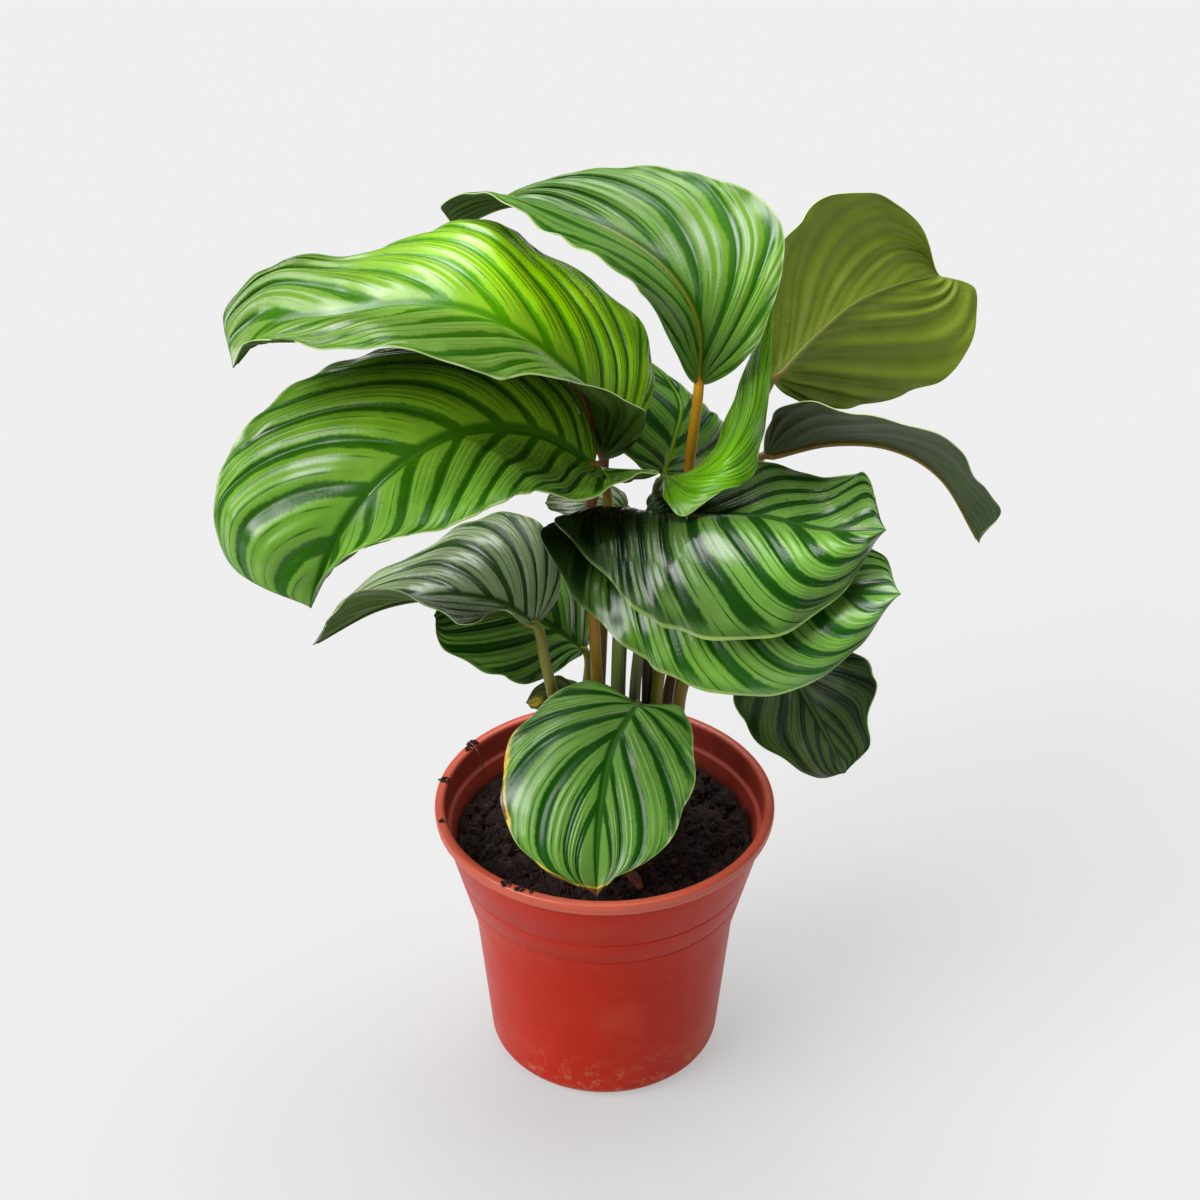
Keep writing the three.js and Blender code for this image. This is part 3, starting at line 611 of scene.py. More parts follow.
class Effects:
    """Shader node groups that several finishes use. Each is built once."""

    def __init__(self) -> None:
        """Builds the groups."""
        self.veins = self._veins()
        self.mottle = self._mottle()
        self.dust = self._dust()

    @staticmethod
    def _veins() -> bpy.types.NodeTree:
        """Dark bands and fine lines along a blade's lateral veins, read from its vein map.

        Returns:
            The tree.
        """
        value = "NodeSocketFloat"
        shader, inputs, outputs = new_group(
            "blade veins", {"Stripe": value, "Across": value, "Place": "NodeSocketVector", "Band": value},
            {"Dark": value, "Line": value, "Quilt": value},
        )
        ragged = shader.math(
            "MULTIPLY_ADD", shader.noise(inputs["Place"], scale=420, detail=3, rough=0.6), 0.1,
            inputs["Stripe"],
        )
        drift = shader.math(
            "MULTIPLY_ADD", shader.noise(inputs["Place"], scale=30, detail=2), 0.3, ragged,
        )
        off = shader.math(
            "MULTIPLY", shader.math("PINGPONG", shader.math("SUBTRACT", drift, 0.2), 0.5), 2.0,
        )
        band = shader.step(shader.math("DIVIDE", off, inputs["Band"]), start=1.2, end=0.75)
        near_rib = shader.step(inputs["Across"], start=0.07, end=0.03)
        at_margin = shader.step(inputs["Across"], start=0.9, end=0.99)
        dark = shader.math("MAXIMUM", band, near_rib)
        faded = shader.math("MULTIPLY", dark, shader.math("MULTIPLY_ADD", at_margin, -0.55, 1.0))
        edge = shader.math("MAXIMUM", faded, shader.math("MULTIPLY", at_margin, 0.5))
        shader.feed(outputs["Dark"], edge)
        fine = shader.math("PINGPONG", shader.math("MULTIPLY", inputs["Stripe"], 3.0), 0.5)
        line = shader.math(
            "MULTIPLY", shader.step(fine, start=0.08, end=0.03),
            shader.step(inputs["Across"], start=0.08, end=0.22),
        )
        kept = shader.step(shader.noise(inputs["Place"], scale=60, detail=2), start=0.25, end=0.6)
        shader.feed(outputs["Line"], shader.math("MULTIPLY", line, kept))
        ribs = shader.math("SINE", shader.math("MULTIPLY", inputs["Stripe"], 8 * math.pi))
        raised = shader.math("MULTIPLY", ribs, shader.step(inputs["Across"], start=0.06, end=0.25))
        grain = shader.noise(inputs["Place"], scale=700, detail=2)
        shader.feed(
            outputs["Quilt"],
            shader.math("MULTIPLY_ADD", raised, 0.4, shader.math("MULTIPLY", grain, 0.3)),
        )
        return shader.tree

    @staticmethod
    def _mottle() -> bpy.types.NodeTree:
        """Uneven light and dark over a surface, as a colour to multiply with.

        Returns:
            The tree.
        """
        shader, inputs, outputs = new_group(
            "mottle", {"Place": "NodeSocketVector", "Size": "NodeSocketFloat", "Depth": "NodeSocketFloat"},
            {"Shade": "NodeSocketColor"},
        )
        texture = shader.node("ShaderNodeTexNoise")
        texture.inputs["Detail"].default_value = 4.0
        shader.feed(texture.inputs["Vector"], inputs["Place"])
        shader.feed(texture.inputs["Scale"], inputs["Size"])
        swing = shader.math(
            "MULTIPLY", shader.math("SUBTRACT", texture.outputs["Fac"], 0.5), inputs["Depth"],
        )
        level = shader.math("ADD", swing, 1.0)
        joined = shader.node("ShaderNodeCombineColor")
        for part in joined.inputs:
            shader.feed(part, level)
        shader.feed(outputs["Shade"], joined.outputs[0])
        return shader.tree

    @staticmethod
    def _dust() -> bpy.types.NodeTree:
        """Specks and smudges of dust, as a mask.

        Returns:
            The tree.
        """
        shader, inputs, outputs = new_group(
            "dust", {"Place": "NodeSocketVector", "Amount": "NodeSocketFloat"}, {"Mask": "NodeSocketFloat"},
        )
        specks = shader.step(
            shader.noise(inputs["Place"], scale=420, detail=2, rough=0.6), start=0.69, end=0.75,
        )
        smudge = shader.step(
            shader.noise(inputs["Place"], scale=38, detail=4, rough=0.65), start=0.52, end=0.78,
        )
        mask = shader.math("MULTIPLY_ADD", smudge, 0.45, specks)
        shader.feed(outputs["Mask"], shader.math("MULTIPLY", mask, inputs["Amount"]))
        return shader.tree


# ---- Finishes ----
@dataclass
class PlantFinishes:
    """Makes the plant's materials, one for each kind that is asked for."""

    effects: Effects
    speck: Rgb = (66, 52, 20)
    hem: Rgb = (132, 160, 84)  # the outermost strip of the upper face
    # painted shade: the colour a blade is darkened towards deep among the others
    shaded: Rgb = (34, 40, 30)
    dry: Rgb = (204, 178, 44)
    dead: Rgb = (112, 82, 52)
    edge: tuple[Rgb, Rgb] = ((150, 184, 104), (196, 206, 146))
    sheath: Rgb = (58, 42, 34)
    streak: Rgb = (120, 96, 50)
    made: dict[str, bpy.types.Material] = field(default_factory=dict)

    def upper(self, tone: Tone) -> bpy.types.Material:
        """The upper face of a blade: dark bands, silvery stripes, painted light, painted shade and scorched
        places.

        Args:
            tone: the kind of blade.

        Returns:
            The material.
        """
        name = f"blade {tone.name.lower()}"
        if name in self.made:
            return self.made[name]
        colours = tone.value
        material, shader, surface = new_finish(name)
        place = shader.place()
        chart = shader.vein_map()
        across = shader.math("ABSOLUTE", shader.math("MULTIPLY_ADD", chart["Y"], 2.0, -1.0))
        veins = shader.group(
            self.effects.veins, Stripe=chart["X"], Across=across, Place=place, Band=colours.band,
        ).outputs
        # the marks hold painted light, dried places and the midrib
        lit, burnt, rib = shader.marks()
        # painted shade, read from the marks' alpha
        shade = shader.attribute(MARKS)["Alpha"]
        plain = shader.mix(veins["Dark"], linear(colours.pale), linear(colours.dark))
        # painted light: the brighter, yellower colours where light comes through the blade
        painted_glow = shader.mix(veins["Dark"], linear(colours.painted_light_pale), linear(colours.painted_light_dark))
        skin = shader.mix(lit, plain, painted_glow)
        lined = shader.mix(shader.math("MULTIPLY", veins["Line"], 0.9), skin, linear(colours.dark))
        mottle = shader.group(self.effects.mottle, Place=place, Size=70.0, Depth=0.5)
        uneven = shader.mix(1.0, lined, mottle.outputs["Shade"], "MULTIPLY")
        specks = shader.step(shader.noise(place, scale=330, detail=1), start=0.77, end=0.8)
        specked = shader.mix(shader.math("MULTIPLY", specks, 0.7), uneven, linear(self.speck))
        ribbed = shader.mix(shader.math("MULTIPLY", rib, 0.8), specked, linear(colours.rib))
        edged = shader.mix(shader.step(across, start=0.978, end=0.99), ribbed, linear(self.hem))
        # painted shade: darkens the blade where it lies deep among the other leaves
        with_painted_shade = shader.mix(shade, edged, linear(self.shaded), "MULTIPLY")
        shader.feed(surface.inputs["Base Color"], self._scorch(shader, with_painted_shade, burnt, place))
        rough = shader.math(
            "MULTIPLY_ADD", shader.noise(place, scale=120), 0.12, colours.roughness - 0.06,
        )
        shader.feed(surface.inputs["Roughness"], rough)
        shader.feed(surface.inputs["Normal"], shader.bump(veins["Quilt"], distance=0.00035))
        surface.inputs["Specular IOR Level"].default_value = 0.35
        glaze = shader.step(shader.noise(place, scale=24, detail=2), start=0.48, end=0.62)
        shader.feed(surface.inputs["Coat Weight"], glaze)
        surface.inputs["Coat Roughness"].default_value = 0.24
        self.made[name] = material
        return material

    def _scorch(self, shader: Shader, colour: Socket, burnt: Socket, place: Socket) -> Socket:
        """Turns a colour yellow and then brown where a blade has dried out.

        Args:
            shader: writes the nodes.
            colour: the healthy colour.
            burnt: how far the blade has dried, 0 to 1.
            place: where the surface is.

        Returns:
            The new colour.
        """
        level = shader.math("SUBTRACT", burnt, 0.25)
        rough_edge = shader.math(
            "MULTIPLY_ADD", shader.noise(place, scale=150, detail=4, rough=0.65), 0.5, level,
        )
        yellow = shader.mix(shader.step(rough_edge, start=0.3, end=0.5), colour, linear(self.dry))
        return shader.mix(shader.step(rough_edge, start=0.58, end=0.72), yellow, linear(self.dead))

    def lower(self, under: Underside) -> bpy.types.Material:
        """The underside of a blade: plain olive with slightly darker lateral veins.

        Args:
            under: the kind of underside.

        Returns:
            The material.
        """
        name = f"underside {under.name.lower()}"
        if name in self.made:
            return self.made[name]
        colours = under.value
        material, shader, surface = new_finish(name)
        place = shader.place()
        ridge = shader.math("PINGPONG", shader.math("MULTIPLY", shader.vein_map()["X"], 2.0), 0.5)
        _, burnt, rib = shader.marks()
        veined = shader.mix(
            shader.step(ridge, start=0.4, end=0.0), linear(colours.field), linear(colours.vein),
        )
        mottle = shader.group(self.effects.mottle, Place=place, Size=60.0, Depth=0.55)
        uneven = shader.mix(1.0, veined, mottle.outputs["Shade"], "MULTIPLY")
        ribbed = shader.mix(shader.math("MULTIPLY", rib, 0.7), uneven, linear(colours.rib))
        shader.feed(surface.inputs["Base Color"], self._scorch(shader, ribbed, burnt, place))
        surface.inputs["Roughness"].default_value = 0.55
        surface.inputs["Specular IOR Level"].default_value = 0.25
        shader.feed(
            surface.inputs["Normal"],
            shader.bump(shader.noise(place, scale=700, detail=3), distance=0.0003),
        )
        self.made[name] = material
        return material

    def margin(self) -> bpy.types.Material:
        """The thin pale edge of a blade.

        Returns:
            The material.
        """
        name = "blade margin"
        if name not in self.made:
            material, shader, surface = new_finish(name)
            place = shader.place()
            _, burnt, _ = shader.marks()
            pale = shader.mix(shader.noise(place, scale=80), linear(self.edge[0]), linear(self.edge[1]))
            shader.feed(surface.inputs["Base Color"], self._scorch(shader, pale, burnt, place))
            surface.inputs["Roughness"].default_value = 0.5
            self.made[name] = material
        return self.made[name]

    def stalk(self, leaf: Leaf) -> bpy.types.Material:
        """A leaf stalk, from its colour in the soil to its colour at the blade, with a lengthwise grain.

        Args:
            leaf: the leaf that it belongs to.

        Returns:
            The material.
        """
        material, shader, surface = new_finish(f"stalk {leaf.label}")
        place = shader.place()
        along = shader.attribute("along")["Fac"]
        centred = shader.math("SUBTRACT", along, 0.09)
        patchy = shader.math("MULTIPLY_ADD", shader.noise(place, scale=90), 0.18, centred)
        stem = shader.mix(
            shader.step(patchy, start=0.4, end=0.72), linear(leaf.stalk_low), linear(leaf.stalk_top),
        )
        colour = shader.mix(shader.step(along, start=1.0, end=1.14), stem, linear(leaf.under.value.rib))
        sheath = shader.mix(shader.step(patchy, start=0.2, end=0.12), colour, linear(self.sheath))
        grain = shader.noise(shader.stretch(place, (900.0, 900.0, 40.0)), scale=1.0, detail=3)
        streaked = shader.mix(
            shader.math("MULTIPLY", grain, 0.3), sheath, linear(self.streak), "MULTIPLY",
        )
        shader.feed(surface.inputs["Base Color"], streaked)
        surface.inputs["Roughness"].default_value = 0.42
        surface.inputs["Specular IOR Level"].default_value = 0.35
        shader.feed(surface.inputs["Normal"], shader.bump(grain, distance=0.0004))
        return material


# ---- Shapes shared by the pieces ----
def rail_point(points: np.ndarray, share: np.ndarray) -> np.ndarray:
    """Follows a smooth rail.

    Args:
        points: the rail's points; the first and last only steer its ends.
        share: places along it, 0 to 1.

    Returns:
        One row of x, y, z for each place.
    """
    spans = len(points) - 3
    place = np.clip(share, 0, 1) * spans
    span = np.minimum(place.astype(int), spans - 1)
    f = (place - span)[..., None]
    p, q, r, s = (points[span + k] for k in range(4))
    bend, twist = 2 * p - 5 * q + 4 * r - s, 3 * q - p - 3 * r + s
    return 0.5 * (2 * q + (r - p) * f + bend * f**2 + twist * f**3)


def unit(rows: np.ndarray) -> np.ndarray:
    """Scales each row to length 1, leaving rows without length as they are."""
    return rows / np.maximum(np.linalg.norm(rows, axis=-1, keepdims=True), 1e-12)


def smooth_step(values: np.ndarray, start: float, end: float) -> np.ndarray:
    """A smooth step from 0 at start to 1 at end."""
    f = np.clip((values - start) / (end - start), 0, 1)
    return f * f * (3 - 2 * f)


def add_object(name: str, mesh: bpy.types.Mesh) -> bpy.types.Object:
    """Links a new object that stands at the origin.

    Args:
        name: its name.
        mesh: its mesh.

    Returns:
        The object.
    """
    made = bpy.data.objects.new(name, mesh)
    bpy.context.scene.collection.objects.link(made)
    return made


def settle(piece: bpy.types.Object) -> None:
    """Turns an object's modifiers into plain mesh and removes them.

    Args:
        piece: the object.
    """
    graph = bpy.context.evaluated_depsgraph_get()
    evaluated = piece.evaluated_get(graph)
    mesh = bpy.data.meshes.new_from_object(evaluated, preserve_all_data_layers=True, depsgraph=graph)
    piece.modifiers.clear()
    piece.data = mesh


def hand_over(name: str, slot: str, *nodes: str) -> bpy.types.Object:
    """Rides a finished piece on the part and reports it.

    Args:
        name: the piece's name.
        slot: not used.
        nodes: the solids that it stands for.

    Returns:
        The piece.
    """
    piece = bpy.data.objects[name]
    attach(piece, "root")
    if nodes:
        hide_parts(*nodes)
    LOG.info("%s: %d faces", name, len(piece.data.polygons))
    return piece


# ---- Geometry Nodes ----
def out(node: bpy.types.Node, name: str) -> Socket:
    """Finds the output of that name that the node's settings leave in use."""
    return next(socket for socket in node.outputs if socket.name == name and socket.enabled)


@dataclass
class Tree:
    """Writes nodes into one geometry tree that ends in Realize Instances and Set Material."""

    name: str
    inputs: dict[str, str]

    def __post_init__(self) -> None:
        """Starts the tree with its named inputs."""
        self.group = bpy.data.node_groups.new(self.name, "GeometryNodeTree")
        self.group.interface.new_socket("Geometry", in_out="INPUT", socket_type="NodeSocketGeometry")
        for label, kind in self.inputs.items():
            self.group.interface.new_socket(label, in_out="INPUT", socket_type=kind)
        self.group.interface.new_socket("Geometry", in_out="OUTPUT", socket_type="NodeSocketGeometry")
        self.entry = self.node("NodeGroupInput").outputs

    def node(self, kind: str, settings: dict[str, object] | None = None, **links: Value) -> bpy.types.Node:
        """Adds a node.

        Args:
            kind: the node's type name.
            settings: properties to set on it.
            links: what feeds its inputs, by input name with _ for a space.

        Returns:
            The node.
        """
        made = self.group.nodes.new(kind)
        for name, value in (settings or {}).items():
            setattr(made, name, value)
        for name, value in links.items():
            wanted = name.replace("_", " ")
            socket = next(s for s in made.inputs if s.name == wanted and s.enabled)
            if isinstance(value, bpy.types.NodeSocket):
                self.group.links.new(value, socket)
            else:
                socket.default_value = value
        return made

    def close(self, geometry: Socket, material: Socket) -> None:
        """Ends the tree.

        Args:
            geometry: what it has made.
            material: the finish that it gets.
        """
        real = self.node("GeometryNodeRealizeInstances", Geometry=geometry)
        dressed = self.node("GeometryNodeSetMaterial", Geometry=real.outputs[0], Material=material)
        self.group.links.new(dressed.outputs[0], self.node("NodeGroupOutput").inputs[0])

    def apply(self, piece: bpy.types.Object, **values: object) -> None:
        """Runs the tree on an object and turns the result into plain mesh.

        Args:
            piece: the object.
            values: the tree's inputs by name.
        """
        modifier = piece.modifiers.new(self.name, "NODES")
        modifier.node_group = self.group
        items = self.group.interface.items_tree
        sockets = {item.name: item.identifier for item in items if item.in_out == "INPUT"}
        for name, value in values.items():
            modifier[sockets[name]] = value
        settle(piece)


class Trees:
    """The geometry trees that the pieces use. Each is built once."""

    def __init__(self) -> None:
        """Builds the trees."""
        self.tube = self._tube()
        self.crumbs = self._crumbs()
        self.fibres = self._fibres()

    @staticmethod
    def _tube() -> Tree:
        """A round tube along a line of vertices, as thick as their attribute "width" says.

        Returns:
            The tree.
        """
        tree = Tree("tube along a line", {"Sides": "NodeSocketInt", "Material": "NodeSocketMaterial"})
        line = tree.node("GeometryNodeMeshToCurve", Mesh=tree.entry["Geometry"])
        width = tree.node("GeometryNodeInputNamedAttribute", {"data_type": "FLOAT"}, Name="width")
        wide = tree.node(
            "GeometryNodeSetCurveRadius", Curve=line.outputs[0], Radius=out(width, "Attribute"),
        )
        ring = tree.node("GeometryNodeCurvePrimitiveCircle", Resolution=tree.entry["Sides"], Radius=1.0)
        swept = tree.node("GeometryNodeCurveToMesh", Curve=wide.outputs[0],
                          Profile_Curve=ring.outputs["Curve"], Fill_Caps=True)
        tree.group.links.new(tree.node("GeometryNodeInputRadius").outputs[0], swept.inputs["Scale"])
        smooth = tree.node("GeometryNodeSetShadeSmooth", Geometry=swept.outputs[0])
        tree.close(smooth.outputs[0], tree.entry["Material"])
        return tree

    @staticmethod
    def _scatter(tree: Tree, shape: Socket) -> Socket:
        """Sets copies of a shape at random on a surface, turned and scaled at random.

        Args:
            tree: writes the nodes; it has the inputs Density, Smallest, Largest and Seed.
            shape: the shape.

        Returns:
            The copies.
        """
        dots = tree.node("GeometryNodeDistributePointsOnFaces", Mesh=tree.entry["Geometry"],
                         Density=tree.entry["Density"], Seed=tree.entry["Seed"])
        turn = tree.node(
            "FunctionNodeRandomValue", {"data_type": "FLOAT_VECTOR"}, Seed=tree.entry["Seed"],
        )
        turn.inputs["Max"].default_value = (math.tau, math.tau, math.tau)
        size = tree.node("FunctionNodeRandomValue", {"data_type": "FLOAT"}, Seed=tree.entry["Seed"],
                         Min=tree.entry["Smallest"], Max=tree.entry["Largest"])
        placed = tree.node("GeometryNodeInstanceOnPoints", Points=dots.outputs["Points"], Instance=shape,
                           Scale=out(size, "Value"))
        spin = tree.node("FunctionNodeEulerToRotation", Euler=out(turn, "Value"))
        tree.group.links.new(spin.outputs[0], placed.inputs["Rotation"])
        return placed.outputs[0]

    def _crumbs(self) -> Tree:
        """Small rough lumps scattered over a surface.

        Returns:
            The tree.
        """
        tree = Tree("crumbs", {
            "Density": "NodeSocketFloat", "Smallest": "NodeSocketFloat", "Largest": "NodeSocketFloat",
            "Seed": "NodeSocketInt", "Material": "NodeSocketMaterial",
        })
        lump = tree.node("GeometryNodeMeshIcoSphere", Radius=1.0, Subdivisions=1)
        real = tree.node(
            "GeometryNodeRealizeInstances", Geometry=self._scatter(tree, lump.outputs["Mesh"]),
        )
        rough = tree.node("ShaderNodeTexNoise", {"noise_dimensions": "3D"}, Scale=900.0)
        centred = tree.node("ShaderNodeVectorMath", {"operation": "SUBTRACT"})
        tree.group.links.new(rough.outputs["Color"], centred.inputs[0])
        centred.inputs[1].default_value = (0.5, 0.5, 0.5)
        pushed = tree.node("ShaderNodeVectorMath", {"operation": "SCALE"}, Scale=0.0022)
        tree.group.links.new(centred.outputs[0], pushed.inputs[0])
        moved = tree.node("GeometryNodeSetPosition", Geometry=real.outputs[0], Offset=pushed.outputs[0])
        tree.close(moved.outputs[0], tree.entry["Material"])
        return tree

    def _fibres(self) -> Tree:
        """Short bent coir fibres scattered over a surface.

        Returns:
            The tree.
        """
        tree = Tree("fibres", {
            "Density": "NodeSocketFloat", "Smallest": "NodeSocketFloat", "Largest": "NodeSocketFloat",
            "Seed": "NodeSocketInt", "Thickness": "NodeSocketFloat", "Material": "NodeSocketMaterial",
        })
        bent = tree.node("GeometryNodeCurveQuadraticBezier", Resolution=6, Start=(-0.5, 0.0, 0.0),
                         Middle=(0.0, 0.32, 0.12), End=(0.5, 0.0, 0.05))
        real = tree.node(
            "GeometryNodeRealizeInstances", Geometry=self._scatter(tree, bent.outputs["Curve"]),
        )
        ring = tree.node("GeometryNodeCurvePrimitiveCircle", Resolution=3, Radius=tree.entry["Thickness"])
        swept = tree.node(
            "GeometryNodeCurveToMesh", Curve=real.outputs[0], Profile_Curve=ring.outputs["Curve"],
        )
        tree.close(swept.outputs[0], tree.entry["Material"])
        return tree


# ---- Blades ----
@dataclass
class Blade:
    """Builds one blade: a thin, pleated, cupped sheet with a pale margin.

    A place on it is along (0 at the base, 1 at the tip) and across (-1 at the left margin, 0 on the midrib,
    1 at the right margin). Lateral veins leave the midrib and sweep forward to the tip, and the first ones
    fan out from the base. A vein is named by where it leaves the midrib, less than 0 in the fan.
    """

    leaf: Leaf
    spacing: float = 1.15 * MM  # between the lines of vertices
    thickness: float = 0.5 * MM
    cup_width: float = 60 * MM  # a half that is this wide has just the cup that its leaf states
    cup_limit: float = 1.3  # and a wider one has up to this share of it
    cup_change: float = 0.4  # how far along the second of the two cups is reached
    groove: float = 0.8 * MM  # depth and width of the valley that the midrib lies in
    groove_width: float = 2.4 * MM
    rib_width: float = 1.0 * MM  # of the midrib's colour
    pleat_start: tuple[float, float] = (0.04, 0.28)  # how far across the pleats start and are full
    pleat_end: float = 0.8  # and where they begin to fade towards the margin
    full_width: float = 30 * MM  # a narrower half has lower pleats
    fine_pleat: float = 0.45  # height of the pleats between the main ones, as a share of theirs
    sway: float = 1.4 * MM  # slow waves of the blade, and how many in a metre
    sway_scale: float = 24.0
    ruffle: float = 1.3 * MM  # quick waves of the margin
    ruffle_scale: float = 62.0
    scallop: float = 1.3 * MM  # how far the margin stands out and in
    scallop_scale: float = 40.0
    drip: float = 0.8  # how drawn out the tip is
    fan: float = 0.087  # how far ahead of the base the names of the fan's veins start
    base_lean: float = 0.22  # how far forward a vein near the base sweeps
    curve: float = 0.8  # how much a vein turns forward at the margin
    crowding: float = 0.4  # below 1, the stripes crowd towards the base
    crease: float = math.radians(65)  # faces that meet at more than this have a sharp edge

    def __post_init__(self) -> None:
        """Finds the blade's rails."""
        rib = VIEW.sight(self.leaf.midrib)
        base, tip = rib[0], rib[-1]
        right, left = VIEW.sight(self.leaf.right), VIEW.sight(self.leaf.left)
        end = tip + self.drip * (tip - rib[-2])
        self.middle = np.vstack([2 * base - rib[1], rib, 2 * tip - rib[-2]])
        self.right = np.vstack([left[0], base, right, tip, end])
        self.left = np.vstack([right[0], base, left, tip, end])

    def surface(self, along: np.ndarray, across: np.ndarray) -> tuple[np.ndarray, np.ndarray]:
        """Finds places on the smooth middle surface.

        Args:
            along: places from the base to the tip.
            across: places from the left margin to the right margin.

        Returns:
            The points, and the width of their half there.
        """
        nudge = 1e-3
        centre = rail_point(self.middle, along)
        turn = np.arccos(np.clip(1 - 2 * along, -1, 1)) / math.pi
        on_left = across < 0
        margin = np.where(on_left[..., None], rail_point(self.left, turn), rail_point(self.right, turn))
        half = margin - centre
        ahead = rail_point(self.middle, np.minimum(along + nudge, 1))
        forward = ahead - rail_point(self.middle, np.maximum(along - nudge, 0))
        up = unit(np.cross(half, forward)) * np.where(on_left, -1, 1)[..., None]
        width = np.linalg.norm(half, axis=-1)
        reach = np.abs(across)
        settled = np.minimum(along / self.cup_change, 1)
        left, right = (first + (second - first) * settled for first, second in self.leaf.cup)
        lift = np.where(on_left, left, right) * MM
        depth = lift * np.minimum(width / self.cup_width, self.cup_limit) * 4 * reach * (1 - reach)
        return centre + half * reach[..., None] + up * depth[..., None], width

    def stripe(self, along: np.ndarray, across: np.ndarray) -> np.ndarray:
        """Finds which stripe of the leaf's pattern a place lies in, by the vein that runs through it.

        Args:
            along: places from the base to the tip.
            across: places from the left margin to the right margin.

        Returns:
            A whole number in the middle of each dark stripe, and a half in the middle of each pale one.
        """
        reach = np.abs(across)
        low, high = np.full_like(along, -self.fan), np.ones_like(along)
        for _ in range(30):
            start = (low + high) / 2
            opening = np.where(start < 0, 1 + start / self.fan, 1)
            full = smooth_step(start, -0.02, 0.35)
            lean = (self.base_lean + (self.leaf.lean - self.base_lean) * full) * opening
            reached = np.maximum(start, 0) + lean * (reach + self.curve * (1 - start) ** 2 * reach**3)
            beyond = reached > along
            low, high = np.where(beyond, low, start), np.where(beyond, start, high)
        start = np.minimum(low, self.leaf.last_vein)
        return self.leaf.stripes * ((start + self.fan) / (1 + self.fan)) ** self.crowding

    def _grid(self) -> tuple[np.ndarray, np.ndarray]:
        """Lists the places along and across the blade where lines of vertices run.

        Returns:
            The places along, and the places across.
        """
        edge = rail_point(self.right, np.linspace(0, 1, 80))
        rows = int(np.linalg.norm(np.diff(edge, axis=0), axis=1).sum() / self.spacing)
        _, width = self.surface(np.full(2, 0.45), np.array([-1.0, 1.0]))
        steps = max(int(width.max() / self.spacing), 12)
        along = (1 - np.cos(math.pi * np.arange(1, rows) / rows)) / 2
        reach = np.concatenate(
            [[0, 0.012, 0.028, 0.05], np.linspace(0.08, 0.94, steps), [0.965, 0.985, 1]],
        )
        return along, np.concatenate([-reach[:0:-1], reach])

    def build(self, finishes: PlantFinishes) -> None:
        """Makes the blade and dresses it.

        Args:
            finishes: makes the materials.
        """
        along_line, across_line = self._grid()
        grids = np.meshgrid(along_line, across_line, indexing="ij")
        ends = ((0.0, 1.0), (0.0, 0.0))  # of the base and the tip
        along, across = (np.concatenate([grid.ravel(), end]) for grid, end in zip(grids, ends))
        points, width = self.surface(along, across)
        stripe = self.stripe(along, across)
        columns = len(across_line)
        faces = self._faces(len(along_line), columns)
        height = self._relief(points, along, across, width, stripe)
        points = points + self._normals(points, faces) * height[:, None]
        points = points + self._scallops(points, along, across, stripe)
        normals = self._normals(points, faces) * self.thickness / 2
        count = len(points)
        below = [tuple(k + count for k in reversed(face)) for face in faces]
        right, left = range(columns - 1, count - 2, columns), range(count - 2 - columns, -1, -columns)
        rim = [count - 2, *right, count - 1, *left]
        band = [(k, k + count, after + count, after) for k, after in zip(rim, rim[1:] + rim[:1])]
        mesh = bpy.data.meshes.new(f"blade_{self.leaf.label}")
        mesh.from_pydata(
            np.vstack([points + normals, points - normals]).tolist(), [], faces + below + band,
        )
        kinds = np.repeat([0, 1, 2], [len(faces), len(below), len(band)])
        mesh.polygons.foreach_set("material_index", kinds.astype(np.int32))
        for finish in (finishes.upper(self.leaf.tone), finishes.lower(self.leaf.under), finishes.margin()):
            mesh.materials.append(finish)
        self._chart(mesh, np.tile(stripe, 2), np.tile(0.5 + 0.5 * across, 2))
        # marks: painted light coming through, dried places, the midrib, and painted shade
        marks = np.stack([
            self._spots(self.leaf.lit, along, across), self._spots(self.leaf.scorch, along, across),
            np.exp(-((np.abs(across) * width / (self.rib_width * (1.15 - along))) ** 2)),
            np.minimum(self._spots(self.leaf.shade, along, across), 1),
        ], axis=1)
        layer = mesh.attributes.new(MARKS, "FLOAT_COLOR", "POINT")
        layer.data.foreach_set("color", np.tile(marks, (2, 1)).ravel())
        mesh.shade_smooth()
        mesh.set_sharp_from_angle(angle=self.crease)
        add_object(mesh.name, mesh)
        hand_over(mesh.name, "leaf", self.leaf.node)

    @staticmethod
    def _faces(rows: int, columns: int) -> list[tuple[int, ...]]:
        """Lists the faces of a sheet whose last two vertices are the base and the tip.

        Args:
            rows: how many lines of vertices lie between the base and the tip.
            columns: how many vertices a line has, from the left margin to the right one.

        Returns:
            Vertex numbers for each face, seen from above.
        """
        base, tip = rows * columns, rows * columns + 1
        last = (rows - 1) * columns
        faces = [(base, k + 1, k) for k in range(columns - 1)]
        for row in range(rows - 1):
            low, high = row * columns, (row + 1) * columns
            faces += [(low + k, low + k + 1, high + k + 1, high + k) for k in range(columns - 1)]
        return faces + [(last + k, last + k + 1, tip) for k in range(columns - 1)]

    @staticmethod
    def _normals(points: np.ndarray, faces: list[tuple[int, ...]]) -> np.ndarray:
        """Finds the direction that a sheet faces at each of its vertices.

        Args:
            points: the vertices.
            faces: the sheet's faces.

        Returns:
            One direction for each vertex.
        """
        corners = np.array([face if len(face) == 4 else (*face, face[2]) for face in faces])
        a, b, c, d = (points[corners[:, k]] for k in range(4))
        facing = np.cross(c - a, d - b)
        thin = corners[:, 2] == corners[:, 3]
        facing[thin] = np.cross(b[thin] - a[thin], c[thin] - a[thin])
        total = np.zeros_like(points)
        for k in range(4):
            np.add.at(total, corners[:, k], facing)
        return unit(total)

